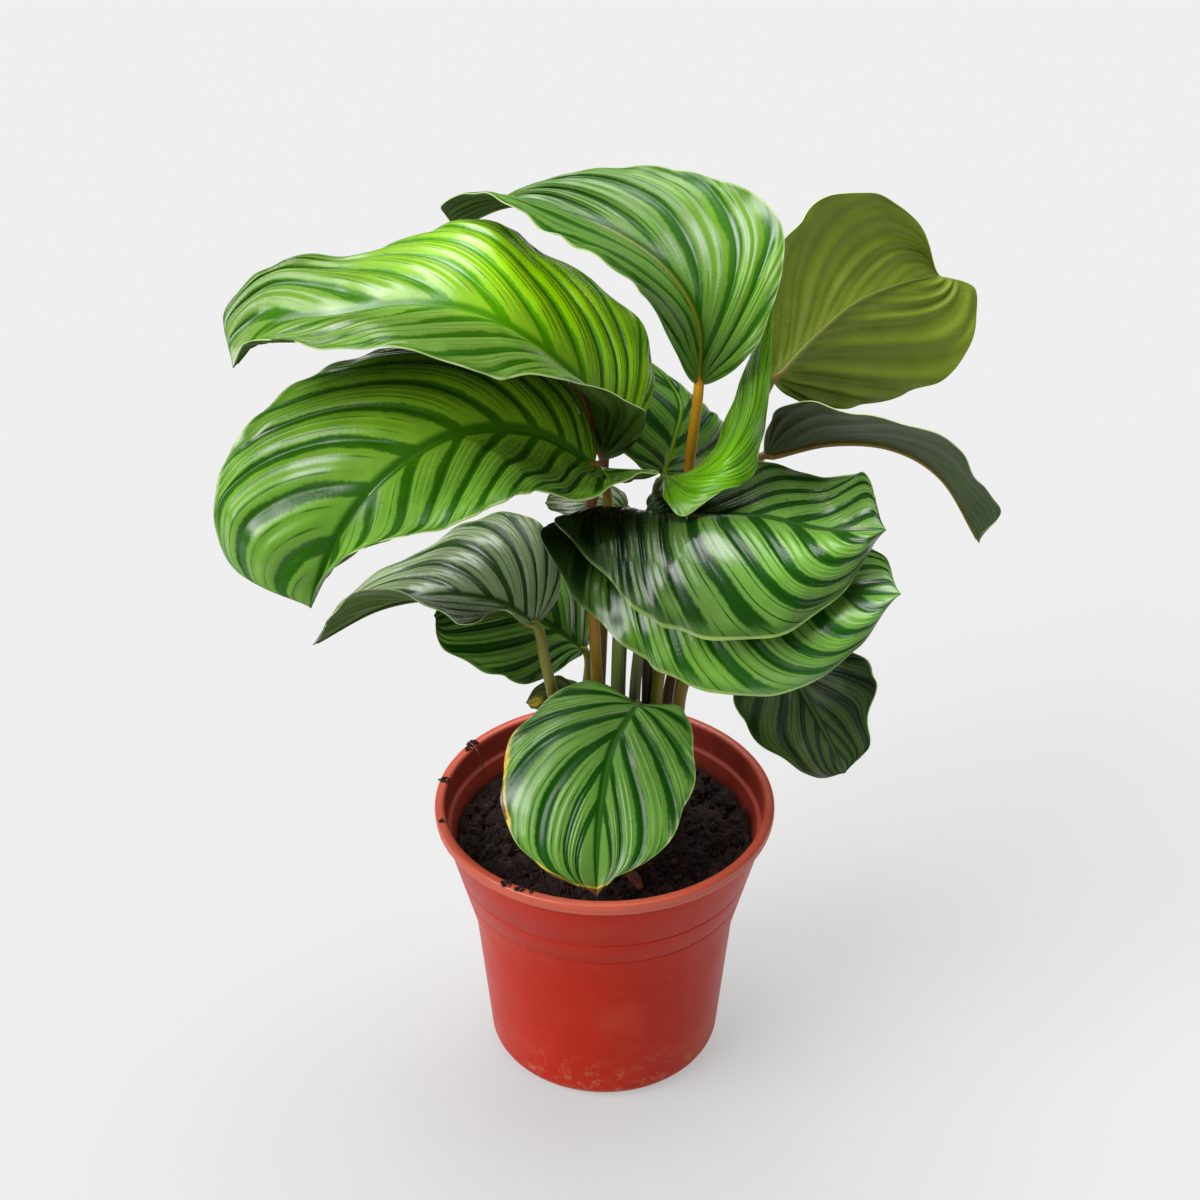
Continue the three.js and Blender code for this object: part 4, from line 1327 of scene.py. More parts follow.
    def _relief(self, points: np.ndarray, along: np.ndarray, across: np.ndarray, width: np.ndarray,
                stripe: np.ndarray) -> np.ndarray:
        """Finds how far each vertex stands off the smooth surface.

        Args:
            points: the vertices on the smooth surface.
            along: how far each one lies from the base to the tip.
            across: how far it lies towards the left or right margin.
            width: the width of its half.
            stripe: its place in the pattern of stripes.

        Returns:
            Heights, + on the upper face.
        """
        reach = np.abs(across)
        body = smooth_step(reach, *self.pleat_start) * (1 - smooth_step(reach, self.pleat_end, 1))
        body = body * np.minimum(width / self.full_width, 1)
        fold = np.cos(math.tau * stripe) + self.fine_pleat * np.cos(2 * math.tau * stripe + 0.6)
        groove = -self.groove * np.exp(-((reach * width / self.groove_width) ** 2)) * (1 - along)
        seed = sum(map(ord, self.leaf.node))
        places = [Vector(p) for p in points.tolist()]
        sway = np.array([noise.noise(p * self.sway_scale + Vector((seed, 0, 0))) for p in places])
        curl = np.array([noise.noise(p * self.ruffle_scale + Vector((0, seed, 0))) for p in places])
        bend = self.sway * sway * smooth_step(reach, 0.1, 0.6)
        bend = bend + self.ruffle * 2 * curl * smooth_step(reach, 0.75, 1)
        settled = smooth_step(along, 0, 0.03) * (1 - smooth_step(along, 0.93, 1))
        return (-self.leaf.pleat * MM * fold * body + bend) * settled + groove

    def _scallops(self, points: np.ndarray, along: np.ndarray, across: np.ndarray,
                  stripe: np.ndarray) -> np.ndarray:
        """Finds how far the margin stands out where veins meet it, as an offset for each vertex.

        Args:
            points: the vertices.
            along: how far each one lies from the base to the tip.
            across: how far it lies towards the left or right margin.
            stripe: its place in the pattern of stripes.

        Returns:
            Offsets.
        """
        centre = rail_point(self.middle, along)
        near_edge = smooth_step(np.abs(across), 0.7, 1) * smooth_step(along, 0.02, 0.1)
        uneven = np.array([noise.noise(Vector(p) * self.scallop_scale) for p in points.tolist()])
        swing = np.cos(math.tau * stripe) * 0.6 + uneven
        size = self.scallop * swing * near_edge * (1 - smooth_step(along, 0.9, 1))
        return unit(points - centre) * size[:, None]

    @staticmethod
    def _spots(spots: tuple[Spot, ...], along: np.ndarray, across: np.ndarray) -> np.ndarray:
        """Adds up soft round spots on the blade, each given by its place, its spans and its strength.

        Args:
            spots: the spots.
            along: how far each vertex lies from the base to the tip.
            across: how far it lies towards the left or right margin.

        Returns:
            How strong the spots are at each vertex.
        """
        total = np.zeros_like(along)
        for place_along, place_across, span_along, span_across, strength in spots:
            far = ((along - place_along) / span_along) ** 2 + ((across - place_across) / span_across) ** 2
            total += strength * np.exp(-far)
        return np.clip(total, 0, 1.5)

    @staticmethod
    def _chart(mesh: bpy.types.Mesh, first: np.ndarray, second: np.ndarray) -> None:
        """Gives a mesh its vein map: stripes along one way, the midrib to the margins along the other.

        Args:
            mesh: the blade.
            first: stripe of each vertex.
            second: its way across, 0 to 1.
        """
        corners = np.zeros(len(mesh.loops), dtype=np.int32)
        mesh.loops.foreach_get("vertex_index", corners)
        layer = mesh.uv_layers.new(name=VEIN_MAP)
        layer.data.foreach_set("uv", np.stack([first[corners], second[corners]], axis=1).ravel())

    def under_rib(self, share: np.ndarray, sink: np.ndarray) -> np.ndarray:
        """Follows the midrib on the underside.

        Args:
            share: places along the blade.
            sink: how far below the blade's middle each point lies.

        Returns:
            The points.
        """
        aside, ahead = 0.05, 0.01
        centre = rail_point(self.middle, share)
        right, _ = self.surface(share, np.full_like(share, aside))
        left, _ = self.surface(share, np.full_like(share, -aside))
        forward = rail_point(self.middle, np.minimum(share + ahead, 1)) - rail_point(
            self.middle, share - ahead,
        )
        down = -unit(np.cross(right - left, forward))
        return centre + down * sink[:, None]


@dataclass
class Stalk:
    """Builds one leaf stalk, from its place in the soil to the midrib under the blade, which it becomes."""

    leaf: Leaf
    blade: Blade
    sunk: float = 110 * MM  # height of its foot, in the soil
    upright: float = 16 * MM  # how far it rises straight up from there
    sides: int = 16
    steps: int = 44
    rib_steps: int = 40
    rib_reach: tuple[float, float] = (0.03, 0.985)  # where along the blade its midrib starts and ends
    rib_least: float = 0.25  # mm, radius of the midrib at the tip
    taper: float = 0.8
    sheath: float = 0.16  # how much thicker it is where the sheath ends, which is this far up
    sheath_place: float = 0.22
    sheath_spread: float = 0.16

    def build(self, finishes: PlantFinishes, trees: Trees) -> None:
        """Makes the stalk and dresses it.

        Args:
            finishes: makes the materials.
            trees: sweeps the tube.
        """
        foot = np.array([*self.leaf.foot, 0.0]) * MM
        base = self.blade.middle[1]
        rise = [foot + (0, 0, self.sunk), foot + (0, 0, self.sunk + self.upright)]
        stops = np.vstack([*rise, VIEW.sight(self.leaf.petiole), base])
        guide = np.vstack([2 * stops[0] - stops[1], stops, self.blade.middle[2]])
        low, top = self.leaf.stalk
        share = self._even(guide)
        stem = rail_point(guide, share)
        rib_share = np.linspace(*self.rib_reach, self.rib_steps)
        rib_width = (top * (1 - rib_share) ** self.taper * 0.5 + self.rib_least) * MM
        rib = self.blade.under_rib(rib_share, rib_width + self.blade.groove * (1 - rib_share) + 0.1 * MM)
        swelling = 1 + self.sheath * np.exp(-(((share - self.sheath_place) / self.sheath_spread) ** 2))
        width = np.concatenate([(low + (top - low) * share**self.taper) * swelling * MM, rib_width])
        mesh = bpy.data.meshes.new(f"stalk_{self.leaf.label}")
        points = np.vstack([stem, rib])
        mesh.from_pydata(points.tolist(), [(k, k + 1) for k in range(len(points) - 1)], [])
        for name, values in (("width", width), ("along", np.concatenate([share, 1 + rib_share]))):
            mesh.attributes.new(name, "FLOAT", "POINT").data.foreach_set("value", values)
        stalk = add_object(mesh.name, mesh)
        trees.tube.apply(stalk, Sides=self.sides, Material=finishes.stalk(self.leaf))
        hand_over(stalk.name, "leaf", self.leaf.node)

    def _even(self, guide: np.ndarray) -> np.ndarray:
        """Spaces the steps evenly along a rail and returns their shares.

        Args:
            guide: the rail's points.

        Returns:
            Shares.
        """
        fine = np.linspace(0, 1, 400)
        points = rail_point(guide, fine)
        run = np.concatenate([[0], np.cumsum(np.linalg.norm(np.diff(points, axis=0), axis=1))])
        return np.interp(np.linspace(0, run[-1], self.steps), run, fine)


# ---- Pot ----
def revolve(name: str, profile: list[tuple[float, float]], segments: int) -> bpy.types.Mesh:
    """Turns a profile round the vertical axis into a closed mesh.

    Args:
        name: the mesh's name.
        profile: radius and height of each point, from the axis round and back to the axis.
        segments: how many steps the turn has.

    Returns:
        The mesh. Its faces point outwards when the profile runs anticlockwise from below.
    """
    turn = np.arange(segments) / segments * math.tau
    ring = np.stack([np.cos(turn), np.sin(turn)], axis=1)
    inner = profile[1:-1]
    points = [(0.0, 0.0, profile[0][1])]
    for radius, height in inner:
        points += [(radius * x, radius * y, height) for x, y in ring]
    points.append((0.0, 0.0, profile[-1][1]))
    faces: list[tuple[int, ...]] = []
    last = 1 + (len(inner) - 1) * segments
    for k in range(segments):
        step = (k + 1) % segments
        faces.append((0, 1 + step, 1 + k))
        for row in range(len(inner) - 1):
            low, high = 1 + row * segments, 1 + (row + 1) * segments
            faces.append((low + k, low + step, high + step, high + k))
        faces.append((last + k, last + step, len(points) - 1))
    mesh = bpy.data.meshes.new(name)
    mesh.from_pydata(points, [], faces)
    return mesh


def round_corner(before: tuple[float, float], corner: tuple[float, float], after: tuple[float, float],
                 reach: float, steps: int = 5) -> list[tuple[float, float]]:
    """Rounds one corner of a profile.

    Args:
        before: the point before the corner.
        corner: the corner.
        after: the point after it.
        reach: how far from the corner the round starts.
        steps: how many spans the round has.

    Returns:
        The points that take the corner's place.
    """
    a, b, c = (Vector(p) for p in (before, corner, after))
    start = b + (a - b).normalized() * min(reach, (a - b).length * 0.45)
    end = b + (c - b).normalized() * min(reach, (c - b).length * 0.45)
    shares = [k / steps for k in range(steps + 1)]
    return [tuple(start * (1 - f) ** 2 + b * 2 * f * (1 - f) + end * f**2) for f in shares]


@dataclass
class Pot:
    """The nursery pot: a thin tapered wall that flares under a thick rounded lip, with drain holes."""

    height: float
    rim_radius: float
    opening_radius: float = 79.5 * MM
    rim_depth: float = 6.2 * MM
    collar_top: float = 82 * MM
    collar_foot: float = 66 * MM
    collar_height: float = 80 * MM
    foot_radius: float = 58.8 * MM
    corner: float = 9 * MM
    base_ring: float = 22 * MM  # a ring of vertices within the drain holes
    wall: float = 2.2 * MM
    floor: float = 3 * MM
    ledge_drop: float = 14 * MM
    ledge_radius: float = 76.8 * MM
    grooves: tuple[float, float] = (101 * MM, 115 * MM)
    groove_depth: float = 0.35 * MM
    groove_half: float = 0.45 * MM
    drain_radius: float = 4 * MM
    drain_circle: float = 36 * MM
    drains: int = 6
    segments: int = 200
    crease: float = math.radians(38)  # faces that meet at more than this have a sharp edge

    def wall_radius(self, height: float) -> float:
        """The outer radius of the wall at a height.

        Args:
            height: the height.

        Returns:
            The radius.
        """
        if height < self.collar_height:
            return self.foot_radius + (self.collar_foot - self.foot_radius) * height / self.collar_height
        share = (height - self.collar_height) / (self.height - self.rim_depth - self.collar_height)
        return self.collar_foot + (self.collar_top - self.collar_foot) * share

    def base_arc(self, inset: float, floor: float) -> list[tuple[float, float]]:
        """The quarter round between the base and the wall, set in by inset and raised to floor.

        Args:
            inset: how far it is set in.
            floor: how far it is raised.

        Returns:
            Radius and height of each point.
        """
        radius = self.corner - inset
        centre = self.wall_radius(self.corner) - self.corner
        steps = 8
        turns = [k / steps * math.pi / 2 for k in range(steps + 1)]
        return [(centre + radius * math.sin(t), floor + radius * (1 - math.cos(t))) for t in turns]

    def build(self, finishes: PotFinishes) -> None:
        """Makes the pot and dresses it.

        Args:
            finishes: makes the materials.
        """
        profile, kinds = self._profile()
        mesh = revolve("nursery_pot", profile, self.segments)
        mesh.polygons.foreach_set("material_index", np.tile(kinds, self.segments).astype(np.int32))
        for finish in (finishes.wall(), finishes.lip(), finishes.inside()):
            mesh.materials.append(finish)
        self._roughen(mesh)
        pot = add_object(mesh.name, mesh)
        self._drill(pot)
        pot.data.shade_smooth()
        pot.data.set_sharp_from_angle(angle=self.crease)
        hand_over(pot.name, "pot_plastic", "pot")

    def _profile(self) -> tuple[list[tuple[float, float]], list[int]]:
        """Lists the pot's profile.

        Returns:
            Its points, and for each span of it whether it is wall (0), lip (1) or inside (2).
        """
        under = self.height - self.rim_depth
        ledge = self.height - self.ledge_drop
        outside = [(0.0, 0.0), (self.base_ring, 0.0), *self.base_arc(0, 0)]
        outside.append((self.collar_foot, self.collar_height))
        for z in self.grooves:
            outside += [(self.wall_radius(z + k * self.groove_half) - self.groove_depth * (k == 0),
                         z + k * self.groove_half) for k in (-1, 0, 1)]
        outside.append((self.collar_top, under))
        lip = [
            (self.rim_radius - 0.6 * MM, under + 0.2 * MM), (self.rim_radius - 0.1 * MM, under + 1.9 * MM),
            (self.rim_radius - 0.35 * MM, under + 2.3 * MM), (self.rim_radius, under + 3.0 * MM),
            (self.rim_radius - 0.2 * MM, self.height), (self.opening_radius + 0.4 * MM, self.height),
        ]
        inside = [
            (self.opening_radius, self.height - 4 * MM), (self.opening_radius - 0.4 * MM, ledge + 0.8 * MM),
            (self.ledge_radius, ledge), (self.wall_radius(self.grooves[1]) - self.wall, self.grooves[1]),
            (self.wall_radius(self.collar_height) - self.wall, self.collar_height),
            *reversed(self.base_arc(self.wall, self.floor)), (self.base_ring, self.floor),
            (0.0, self.floor),
        ]
        raw = [(*p, 0, 0.0) for p in outside]
        raw += [(*p, 1, r * MM) for p, r in zip(lip, (0.5, 0.5, 0.3, 0.6, 2.6, 2.2))]
        raw += [(*p, 2, 0.7 * MM if k < 3 else 0.0) for k, p in enumerate(inside)]
        profile: list[tuple[float, float]] = []
        kinds: list[int] = []
        for k, (radius, height, kind, reach) in enumerate(raw):
            here = (radius, height)
            made = round_corner(raw[k - 1][:2], here, raw[k + 1][:2], reach) if reach else [here]
            profile += made
            kinds += [kind] * len(made)
        return profile, kinds[1:]

    def _roughen(self, mesh: bpy.types.Mesh) -> None:
        """Gives the lip's lower edge the ragged line that moulding leaves.

        Args:
            mesh: the pot.
        """
        edge = self.height - self.rim_depth
        for vertex in mesh.vertices:
            x, y, z = vertex.co
            if abs(z - edge) < 0.6 * MM and math.hypot(x, y) > self.rim_radius - 1.4 * MM:
                jag = noise.noise(vertex.co * 260) * 0.35 * MM + noise.noise(vertex.co * 900) * 0.15 * MM
                vertex.co.z -= abs(jag)
                vertex.co.xy *= 1 + jag / self.rim_radius

    def _drill(self, pot: bpy.types.Object) -> None:
        """Cuts the ring of drain holes through the base.

        Args:
            pot: the pot.
        """
        cutter = bpy.data.meshes.new("drill")
        made = bmesh.new()
        for k in range(self.drains):
            turn = k / self.drains * math.tau
            x, y = self.drain_circle * math.cos(turn), self.drain_circle * math.sin(turn)
            place = Matrix.Translation((x, y, 0))
            bmesh.ops.create_cone(made, cap_ends=True, segments=32, radius1=self.drain_radius,
                                  radius2=self.drain_radius, depth=4 * self.floor, matrix=place)
        made.to_mesh(cutter)
        made.free()
        drill = add_object("drill", cutter)
        cut = pot.modifiers.new("drains", "BOOLEAN")
        cut.operation = "DIFFERENCE"
        cut.solver = "EXACT"
        cut.object = drill
        settle(pot)
        bpy.data.objects.remove(drill)


@dataclass(frozen=True)
class PotFinishes:
    """Makes the pot's materials: terracotta-red moulded plastic, dusty and scuffed."""

    effects: Effects
    body: Rgb = (174, 34, 9)
    rubbed: Rgb = (214, 120, 84)
    dust: Rgb = (182, 112, 84)
    lip_colour: Rgb = (184, 78, 54)
    inner: Rgb = (196, 74, 54)
    stain: Rgb = (92, 38, 26)
    inner_dust: Rgb = (40, 26, 20)

    def wall(self) -> bpy.types.Material:
        """The outside of the wall: turning lines, scratches, specks, and dust that thickens at the base.

        Returns:
            The material.
        """
        material, shader, surface = new_finish("pot wall")
        place = shader.place()
        rise = shader.axes(place)["Z"]
        mottle = shader.group(self.effects.mottle, Place=place, Size=14.0, Depth=0.22)
        body = shader.mix(1.0, linear(self.body), mottle.outputs["Shade"], "MULTIPLY")
        scratch = shader.noise(
            shader.stretch(place, (110.0, 110.0, 900.0)), scale=1.0, detail=3, rough=0.65,
        )
        scratched = shader.mix(shader.step(scratch, start=0.7, end=0.76), body, linear(self.rubbed))
        faded = shader.step(shader.noise(place, scale=26, detail=3), start=0.5, end=0.75)
        worn = shader.mix(shader.math("MULTIPLY", faded, 0.12), scratched, linear(self.rubbed))
        low = shader.step(rise, start=0.036, end=0.0)
        scuffs = shader.step(shader.noise(place, scale=120, detail=5, rough=0.8), start=0.5, end=0.66)
        amount = shader.math("MULTIPLY_ADD", shader.math("MULTIPLY", low, scuffs), 0.8, 0.16)
        dust = shader.group(self.effects.dust, Place=place, Amount=amount)
        foot = shader.math("MAXIMUM", dust.outputs["Mask"], shader.math("MULTIPLY", low, scuffs))
        shader.feed(surface.inputs["Base Color"], shader.mix(foot, worn, linear(self.dust)))
        rough = shader.math("MULTIPLY_ADD", shader.noise(place, scale=40, detail=4), 0.2, 0.26)
        shader.feed(surface.inputs["Roughness"], shader.math("MULTIPLY_ADD", foot, 0.3, rough))
        surface.inputs["Specular IOR Level"].default_value = 0.1
        turning = shader.noise(shader.stretch(place, (6.0, 6.0, 900.0)), scale=1.0, detail=2)
        height = shader.math("MULTIPLY_ADD", turning, 0.5, scratch)
        shader.feed(surface.inputs["Normal"], shader.bump(height, distance=0.0002))
        return material

    def lip(self) -> bpy.types.Material:
        """The lip: paler, with rubbed and dusty places.

        Returns:
            The material.
        """
        material, shader, surface = new_finish("pot lip")
        place = shader.place()
        mottle = shader.group(self.effects.mottle, Place=place, Size=30.0, Depth=0.3)
        body = shader.mix(1.0, linear(self.lip_colour), mottle.outputs["Shade"], "MULTIPLY")
        dust = shader.group(self.effects.dust, Place=place, Amount=0.3)
        shader.feed(
            surface.inputs["Base Color"], shader.mix(dust.outputs["Mask"], body, linear(self.dust)),
        )
        rough = shader.math("MULTIPLY_ADD", shader.noise(place, scale=60, detail=4), 0.2, 0.28)
        shader.feed(surface.inputs["Roughness"], rough)
        shader.feed(
            surface.inputs["Normal"],
            shader.bump(shader.noise(place, scale=500, detail=3), distance=0.00018),
        )
        return material

    def inside(self) -> bpy.types.Material:
        """The inside of the wall, stained by the soil.

        Returns:
            The material.
        """
        material, shader, surface = new_finish("pot inside")
        place = shader.place()
        rise = shader.axes(place)["Z"]
        height = shader.math(
            "MULTIPLY_ADD", shader.noise(place, scale=70, detail=4, rough=0.7), 0.014, rise,
        )
        low = shader.step(height, start=0.139, end=0.127)
        soiled = shader.mix(low, linear(self.inner), linear(self.stain))
        dust = shader.group(self.effects.dust, Place=place, Amount=0.35)
        shader.feed(
            surface.inputs["Base Color"],
            shader.mix(dust.outputs["Mask"], soiled, linear(self.inner_dust)),
        )
        surface.inputs["Roughness"].default_value = 0.55
        shader.feed(
            surface.inputs["Normal"],
            shader.bump(shader.noise(place, scale=400, detail=3), distance=0.0002),
        )
        return material


# ---- Soil ----
class Earth(Enum):
    """The soil and what lies in it, each with the two colours that its finish varies between."""

    SOIL = ((24, 16, 14), (58, 40, 32))
    CRUMB = ((18, 10, 8), (54, 32, 24))
    BARK = ((26, 15, 11), (78, 48, 34))
    FIBRE = ((44, 24, 17), (124, 76, 52))
    ROOT = ((104, 56, 38), (150, 92, 64))
    TWIG = ((96, 66, 44), (156, 118, 84))


@dataclass
class SoilFinishes:
    """Makes the materials of the soil and of what lies in it."""

    made: dict[str, bpy.types.Material] = field(default_factory=dict)

    def earth(self, kind: Earth) -> bpy.types.Material:
        """A rough matt finish that varies between two colours.

        Args:
            kind: what it is for.

        Returns:
            The material.
        """
        name = kind.name.lower()
        if name not in self.made:
            first, second = kind.value
            material, shader, surface = new_finish(name)
            place = shader.place()
            share = shader.step(shader.noise(place, scale=320, detail=5, rough=0.7), start=0.36, end=0.66)
            shader.feed(surface.inputs["Base Color"], shader.mix(share, linear(first), linear(second)))
            shader.feed(
                surface.inputs["Normal"],
                shader.bump(shader.noise(place, scale=1400, detail=4, rough=0.7), distance=0.0008),
            )
            surface.inputs["Roughness"].default_value = 0.92
            self.made[name] = material
        return self.made[name]


@dataclass
class Soil:
    """The potting soil: dark, crumbly and fibrous, heaped a little round the stalks and up the wall."""

    pot: Pot
    finishes: SoilFinishes
    trees: Trees
    level: float = 120 * MM
    gap: float = 0.3 * MM  # between the soil and the pot
    lump: float = 1.3  # mm, half the height of the broad lumps
    heap: float = 4.0  # mm, how high it is heaped round the stalks
    heap_middle: tuple[float, float] = (8, 24)  # mm
    heap_spread: float = 30.0  # mm
    bank: float = 8.0  # mm, how far it is drawn up along the wall
    bank_start: int = 6  # the higher, the closer to the wall the bank starts
    drift: float = 7.0  # mm, how uneven the bank is
    coarse: float = 2.8  # mm, height of the coarse crumbling
    fine: float = 1.6  # mm, height of the fine crumbling
    rings: int = 90
    segments: int = 220
    crumb_spots: Rail = (  # across, down, radius in mm
        (470, 743, 3.4), (462, 746, 2.2), (448, 780, 2.8), (443, 820, 1.8), (508, 882, 2.6),
        (519, 889, 2.4), (530, 893, 1.2),
    )
    strands: tuple[tuple[str, float, Earth, Rail], ...] = (  # name, radius in mm, finish, places
        ("root", 0.35, Earth.ROOT, ((468, 741, 149), (475, 747, 153), (481, 759, 146), (486, 790, 0))),
        ("twig", 0.8, Earth.TWIG, ((497, 846, 0), (508, 849, 0), (519, 850, 0))),
        ("bark_bit", 3.0, Earth.ROOT, ((626, 876, 0), (634, 884, 0), (641, 893, 0))),
        ("loose_root", 0.3, Earth.TWIG, ((688, 812, 0), (702, 809, 0), (716, 817, 0))),
    )

    def height(self, x: float, y: float) -> float:
        """The height of the soil's top, in metres, at a place in metres.

        Args:
            x: how far it is to the right.
            y: how far it is to the back.

        Returns:
            The height.
        """
        a, b = x / MM, y / MM
        lumps = math.sin(a / 4.8 + 1.3) * math.cos(b / 5.9 + 0.4) + 0.6 * math.sin(
            a / 9.1 - b / 3.8 + 2.1,
        )
        far = (a - self.heap_middle[0]) ** 2 + (b - self.heap_middle[1]) ** 2
        heap = self.heap * math.exp(-far / self.heap_spread**2)
        near_wall = (math.hypot(x, y) / self.pot.opening_radius) ** self.bank_start
        drift, tuft = noise.noise(Vector((x, y, 0.3)) * 34), noise.noise(Vector((x, y, 0.6)) * 110)
        bank = near_wall * (self.bank + self.drift * max(drift, 0) + self.drift * tuft)
        coarse, fine = noise.noise(Vector((x, y, 0)) * 170), noise.noise(Vector((x, y, 0.1)) * 480)
        return self.level + (self.lump * lumps + heap + bank + coarse * self.coarse + fine * self.fine) * MM

    def build(self) -> None:
        """Makes the soil and what lies on it."""
        top_radius = self.pot.wall_radius(self.level) - self.pot.wall - 2 * self.gap
        depth = self.pot.wall + self.gap
        low = self.pot.base_arc(depth, self.pot.floor + self.gap)
        side = [(self.pot.wall_radius(z) - depth, z) for z in (self.pot.collar_height, self.pot.grooves[1])]
        rings = [(top_radius * k / self.rings, self.level) for k in range(self.rings, 0, -1)]
        mesh = revolve(
            "potting_soil", [(0.0, low[0][1]), *low, *side, *rings, (0.0, self.level)], self.segments,
        )
        for vertex in mesh.vertices:
            if vertex.co.z > self.level - 0.1 * MM:
                vertex.co.z = self.height(vertex.co.x, vertex.co.y)
        mesh.materials.append(self.finishes.earth(Earth.SOIL))
        mesh.shade_smooth()
        add_object(mesh.name, mesh)
        hand_over(mesh.name, "soil", "soil")
        self._scatter(top_radius)
        self._litter()

    def patch(self, name: str, centre: tuple[float, float], radius: float, lift: float | None = None,
              rings: int = 12) -> bpy.types.Object:
        """Makes a round patch for bits to be scattered on.

        Args:
            name: the object's name.
            centre: its middle.
            radius: its radius.
            lift: its height, or None to follow the soil.
            rings: how many rings of faces it has.

        Returns:
            The patch.
        """
        around = 24
        points: list[tuple[float, float, float]] = []
        for ring in range(rings + 1):
            for k in range(around):
                turn = k / around * math.tau
                x = centre[0] + radius * (ring + 0.01) / rings * math.cos(turn)
                y = centre[1] + radius * (ring + 0.01) / rings * math.sin(turn)
                points.append((x, y, self.height(x, y) if lift is None else lift))
        faces = [
            (low + k, low + around + k, low + around + (k + 1) % around, low + (k + 1) % around)
            for low in range(0, rings * around, around) for k in range(around)
        ]
        mesh = bpy.data.meshes.new(name)
        mesh.from_pydata(points, [], faces)
        return add_object(name, mesh)

    def _scatter(self, radius: float) -> None:
        """Scatters crumbs, bark and fibres over the soil.

        Args:
            radius: the soil's radius.
        """
        inner = radius - 2 * MM
        crumbs, fibres = self.trees.crumbs, self.trees.fibres
        kinds = (  # name, tree, number in a square metre, smallest and largest in mm, finish, other inputs
            ("soil_crumbs", crumbs, 90000.0, 0.7, 2.3, Earth.CRUMB, {}),
            ("soil_bark", crumbs, 3800.0, 2.2, 4.0, Earth.BARK, {}),
            ("soil_fibres", fibres, 60000.0, 4.0, 13.0, Earth.FIBRE, {"Thickness": 0.16 * MM}),
        )
        for seed, (name, tree, density, least, most, finish, more) in enumerate(kinds):
            source = self.patch(name, (0.0, 0.0), inner, rings=40)
            tree.apply(source, Density=density, Smallest=least * MM, Largest=most * MM, Seed=seed,
                       Material=self.finishes.earth(finish), **more)
            hand_over(name, "soil")

    def _litter(self) -> None:
        """Lays the crumbs on the lip, the root that hangs over it, and the strands that lie on the soil."""
        lip = self.pot.height + 0.2 * MM
        for k, (across, down, spread) in enumerate(self.crumb_spots):
            x, y, _ = VIEW.at_height(across, down, lip)
            pull = (self.pot.opening_radius + self.pot.rim_radius) / 2 / math.hypot(x, y)
            name = f"lip_crumbs_{k + 1}"
            source = self.patch(name, (x * pull, y * pull), spread * MM, lip, rings=3)
            self.trees.crumbs.apply(source, Density=9e5, Smallest=0.35 * MM, Largest=1.0 * MM, Seed=20 + k,
                                    Material=self.finishes.earth(Earth.CRUMB))
            hand_over(name, "soil")
        for name, radius, finish, places in self.strands:
            self._strand(name, places, radius, finish)

    def _strand(self, name: str, places: Rail, radius: float, finish: Earth) -> None:
        """Lays a bent strand, such as a root or a twig.

        Args:
            name: the piece's name.
            places: across and down in the frame and the height in mm, or 0 where it lies on the soil.
            radius: its radius in mm at the middle.
            finish: what it is made of.
        """
        points = []
        for across, down, height in places:
            point = VIEW.at_height(across, down, height * MM if height else self.level)
            if not height:
                point.z = self.height(point.x, point.y) + radius * MM
            points.append(np.array(point))
        share = np.linspace(0, 1, 24)
        ends = (2 * points[0] - points[1], 2 * points[-1] - points[-2])
        line = rail_point(np.vstack([ends[0], *points, ends[1]]), share)
        mesh = bpy.data.meshes.new(name)
        mesh.from_pydata(line.tolist(), [(k, k + 1) for k in range(len(line) - 1)], [])
        width = radius * MM * (0.4 + 0.6 * np.sin(math.pi * share))
        mesh.attributes.new("width", "FLOAT", "POINT").data.foreach_set("value", width)
        self.trees.tube.apply(add_object(name, mesh), Sides=7, Material=self.finishes.earth(finish))
        hand_over(name, "soil")


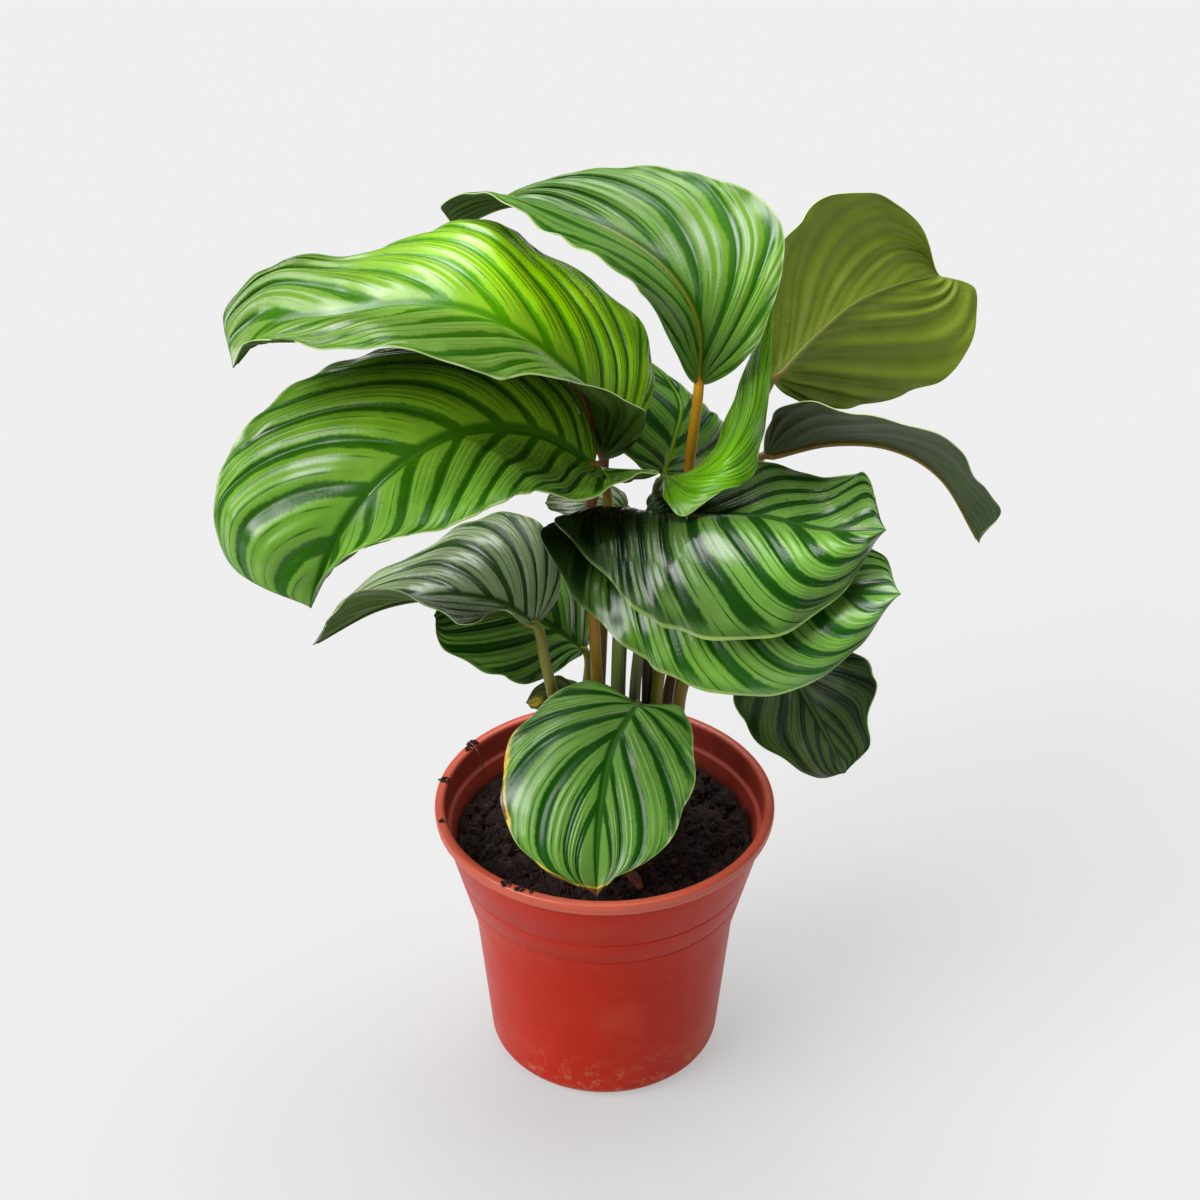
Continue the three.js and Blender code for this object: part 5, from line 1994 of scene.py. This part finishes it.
# ---- The room ----
@dataclass(frozen=True)
class Studio:
    """A pale floor and soft light from above."""

    floor_size: float = 14.0
    floor_colour: Rgb = (130, 130, 130)
    floor_glow: Rgb = (172, 172, 172)
    room_colour: Rgb = (241, 241, 241)
    room_light: float = 0.42

    def build(self) -> None:
        """Makes the floor, the lights and the world."""
        mesh = bpy.data.meshes.new("floor")
        half = self.floor_size / 2
        corners = [(-half, -half, 0), (half, -half, 0), (half, half, 0), (-half, half, 0)]
        mesh.from_pydata(corners, [], [(0, 1, 2, 3)])
        floor = add_object("floor", mesh)
        material, _, surface = new_finish("floor")
        surface.inputs["Base Color"].default_value = linear(self.floor_colour)
        surface.inputs["Roughness"].default_value = 0.9
        surface.inputs["Specular IOR Level"].default_value = 0.0
        surface.inputs["Emission Color"].default_value = linear(self.floor_glow)
        surface.inputs["Emission Strength"].default_value = 1.0
        mesh.materials.append(material)
        self._light("window", (-0.9, -0.5, 0.9), spread=42.0, power=3.1)
        self._light("skylight", (0.0, 0.3, 1.0), spread=46.0, power=3.3)
        world = bpy.data.worlds.new("room")
        world.use_nodes = True
        sky = world.node_tree.nodes["Background"]
        sky.inputs["Color"].default_value = linear(self.room_colour)
        sky.inputs["Strength"].default_value = self.room_light
        bpy.context.scene.world = world
        world.cycles_visibility.glossy = False
        bpy.context.scene.view_settings.view_transform = "Standard"

    @staticmethod
    def _light(name: str, source: tuple[float, float, float], spread: float, power: float) -> None:
        """Adds a soft light that shines from a direction.

        Args:
            name: the light's name.
            source: where it shines from.
            spread: how wide it is in the sky, in degrees.
            power: its strength.
        """
        data = bpy.data.lights.new(name, "SUN")
        data.angle = math.radians(spread)
        data.energy = power
        lamp = bpy.data.objects.new(name, data)
        lamp.rotation_euler = (-Vector(source)).to_track_quat("-Z", "Y").to_euler()
        bpy.context.scene.collection.objects.link(lamp)


def main() -> None:
    """Builds the whole scene around the frame."""
    logging.basicConfig(level=logging.INFO, format="%(name)s: %(message)s", stream=sys.stdout, force=True)
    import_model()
    VIEW.place_camera()
    effects = Effects()
    trees = Trees()
    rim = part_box("pot")[1]
    pot = Pot(height=rim.z, rim_radius=rim.x)
    pot.build(PotFinishes(effects))
    Soil(pot, SoilFinishes(), trees).build()
    plant = PlantFinishes(effects)
    for leaf in LEAVES:
        blade = Blade(leaf)
        blade.build(plant)
        Stalk(leaf, blade).build(plant, trees)
    Studio().build()


if __name__ == "__main__":
    main()
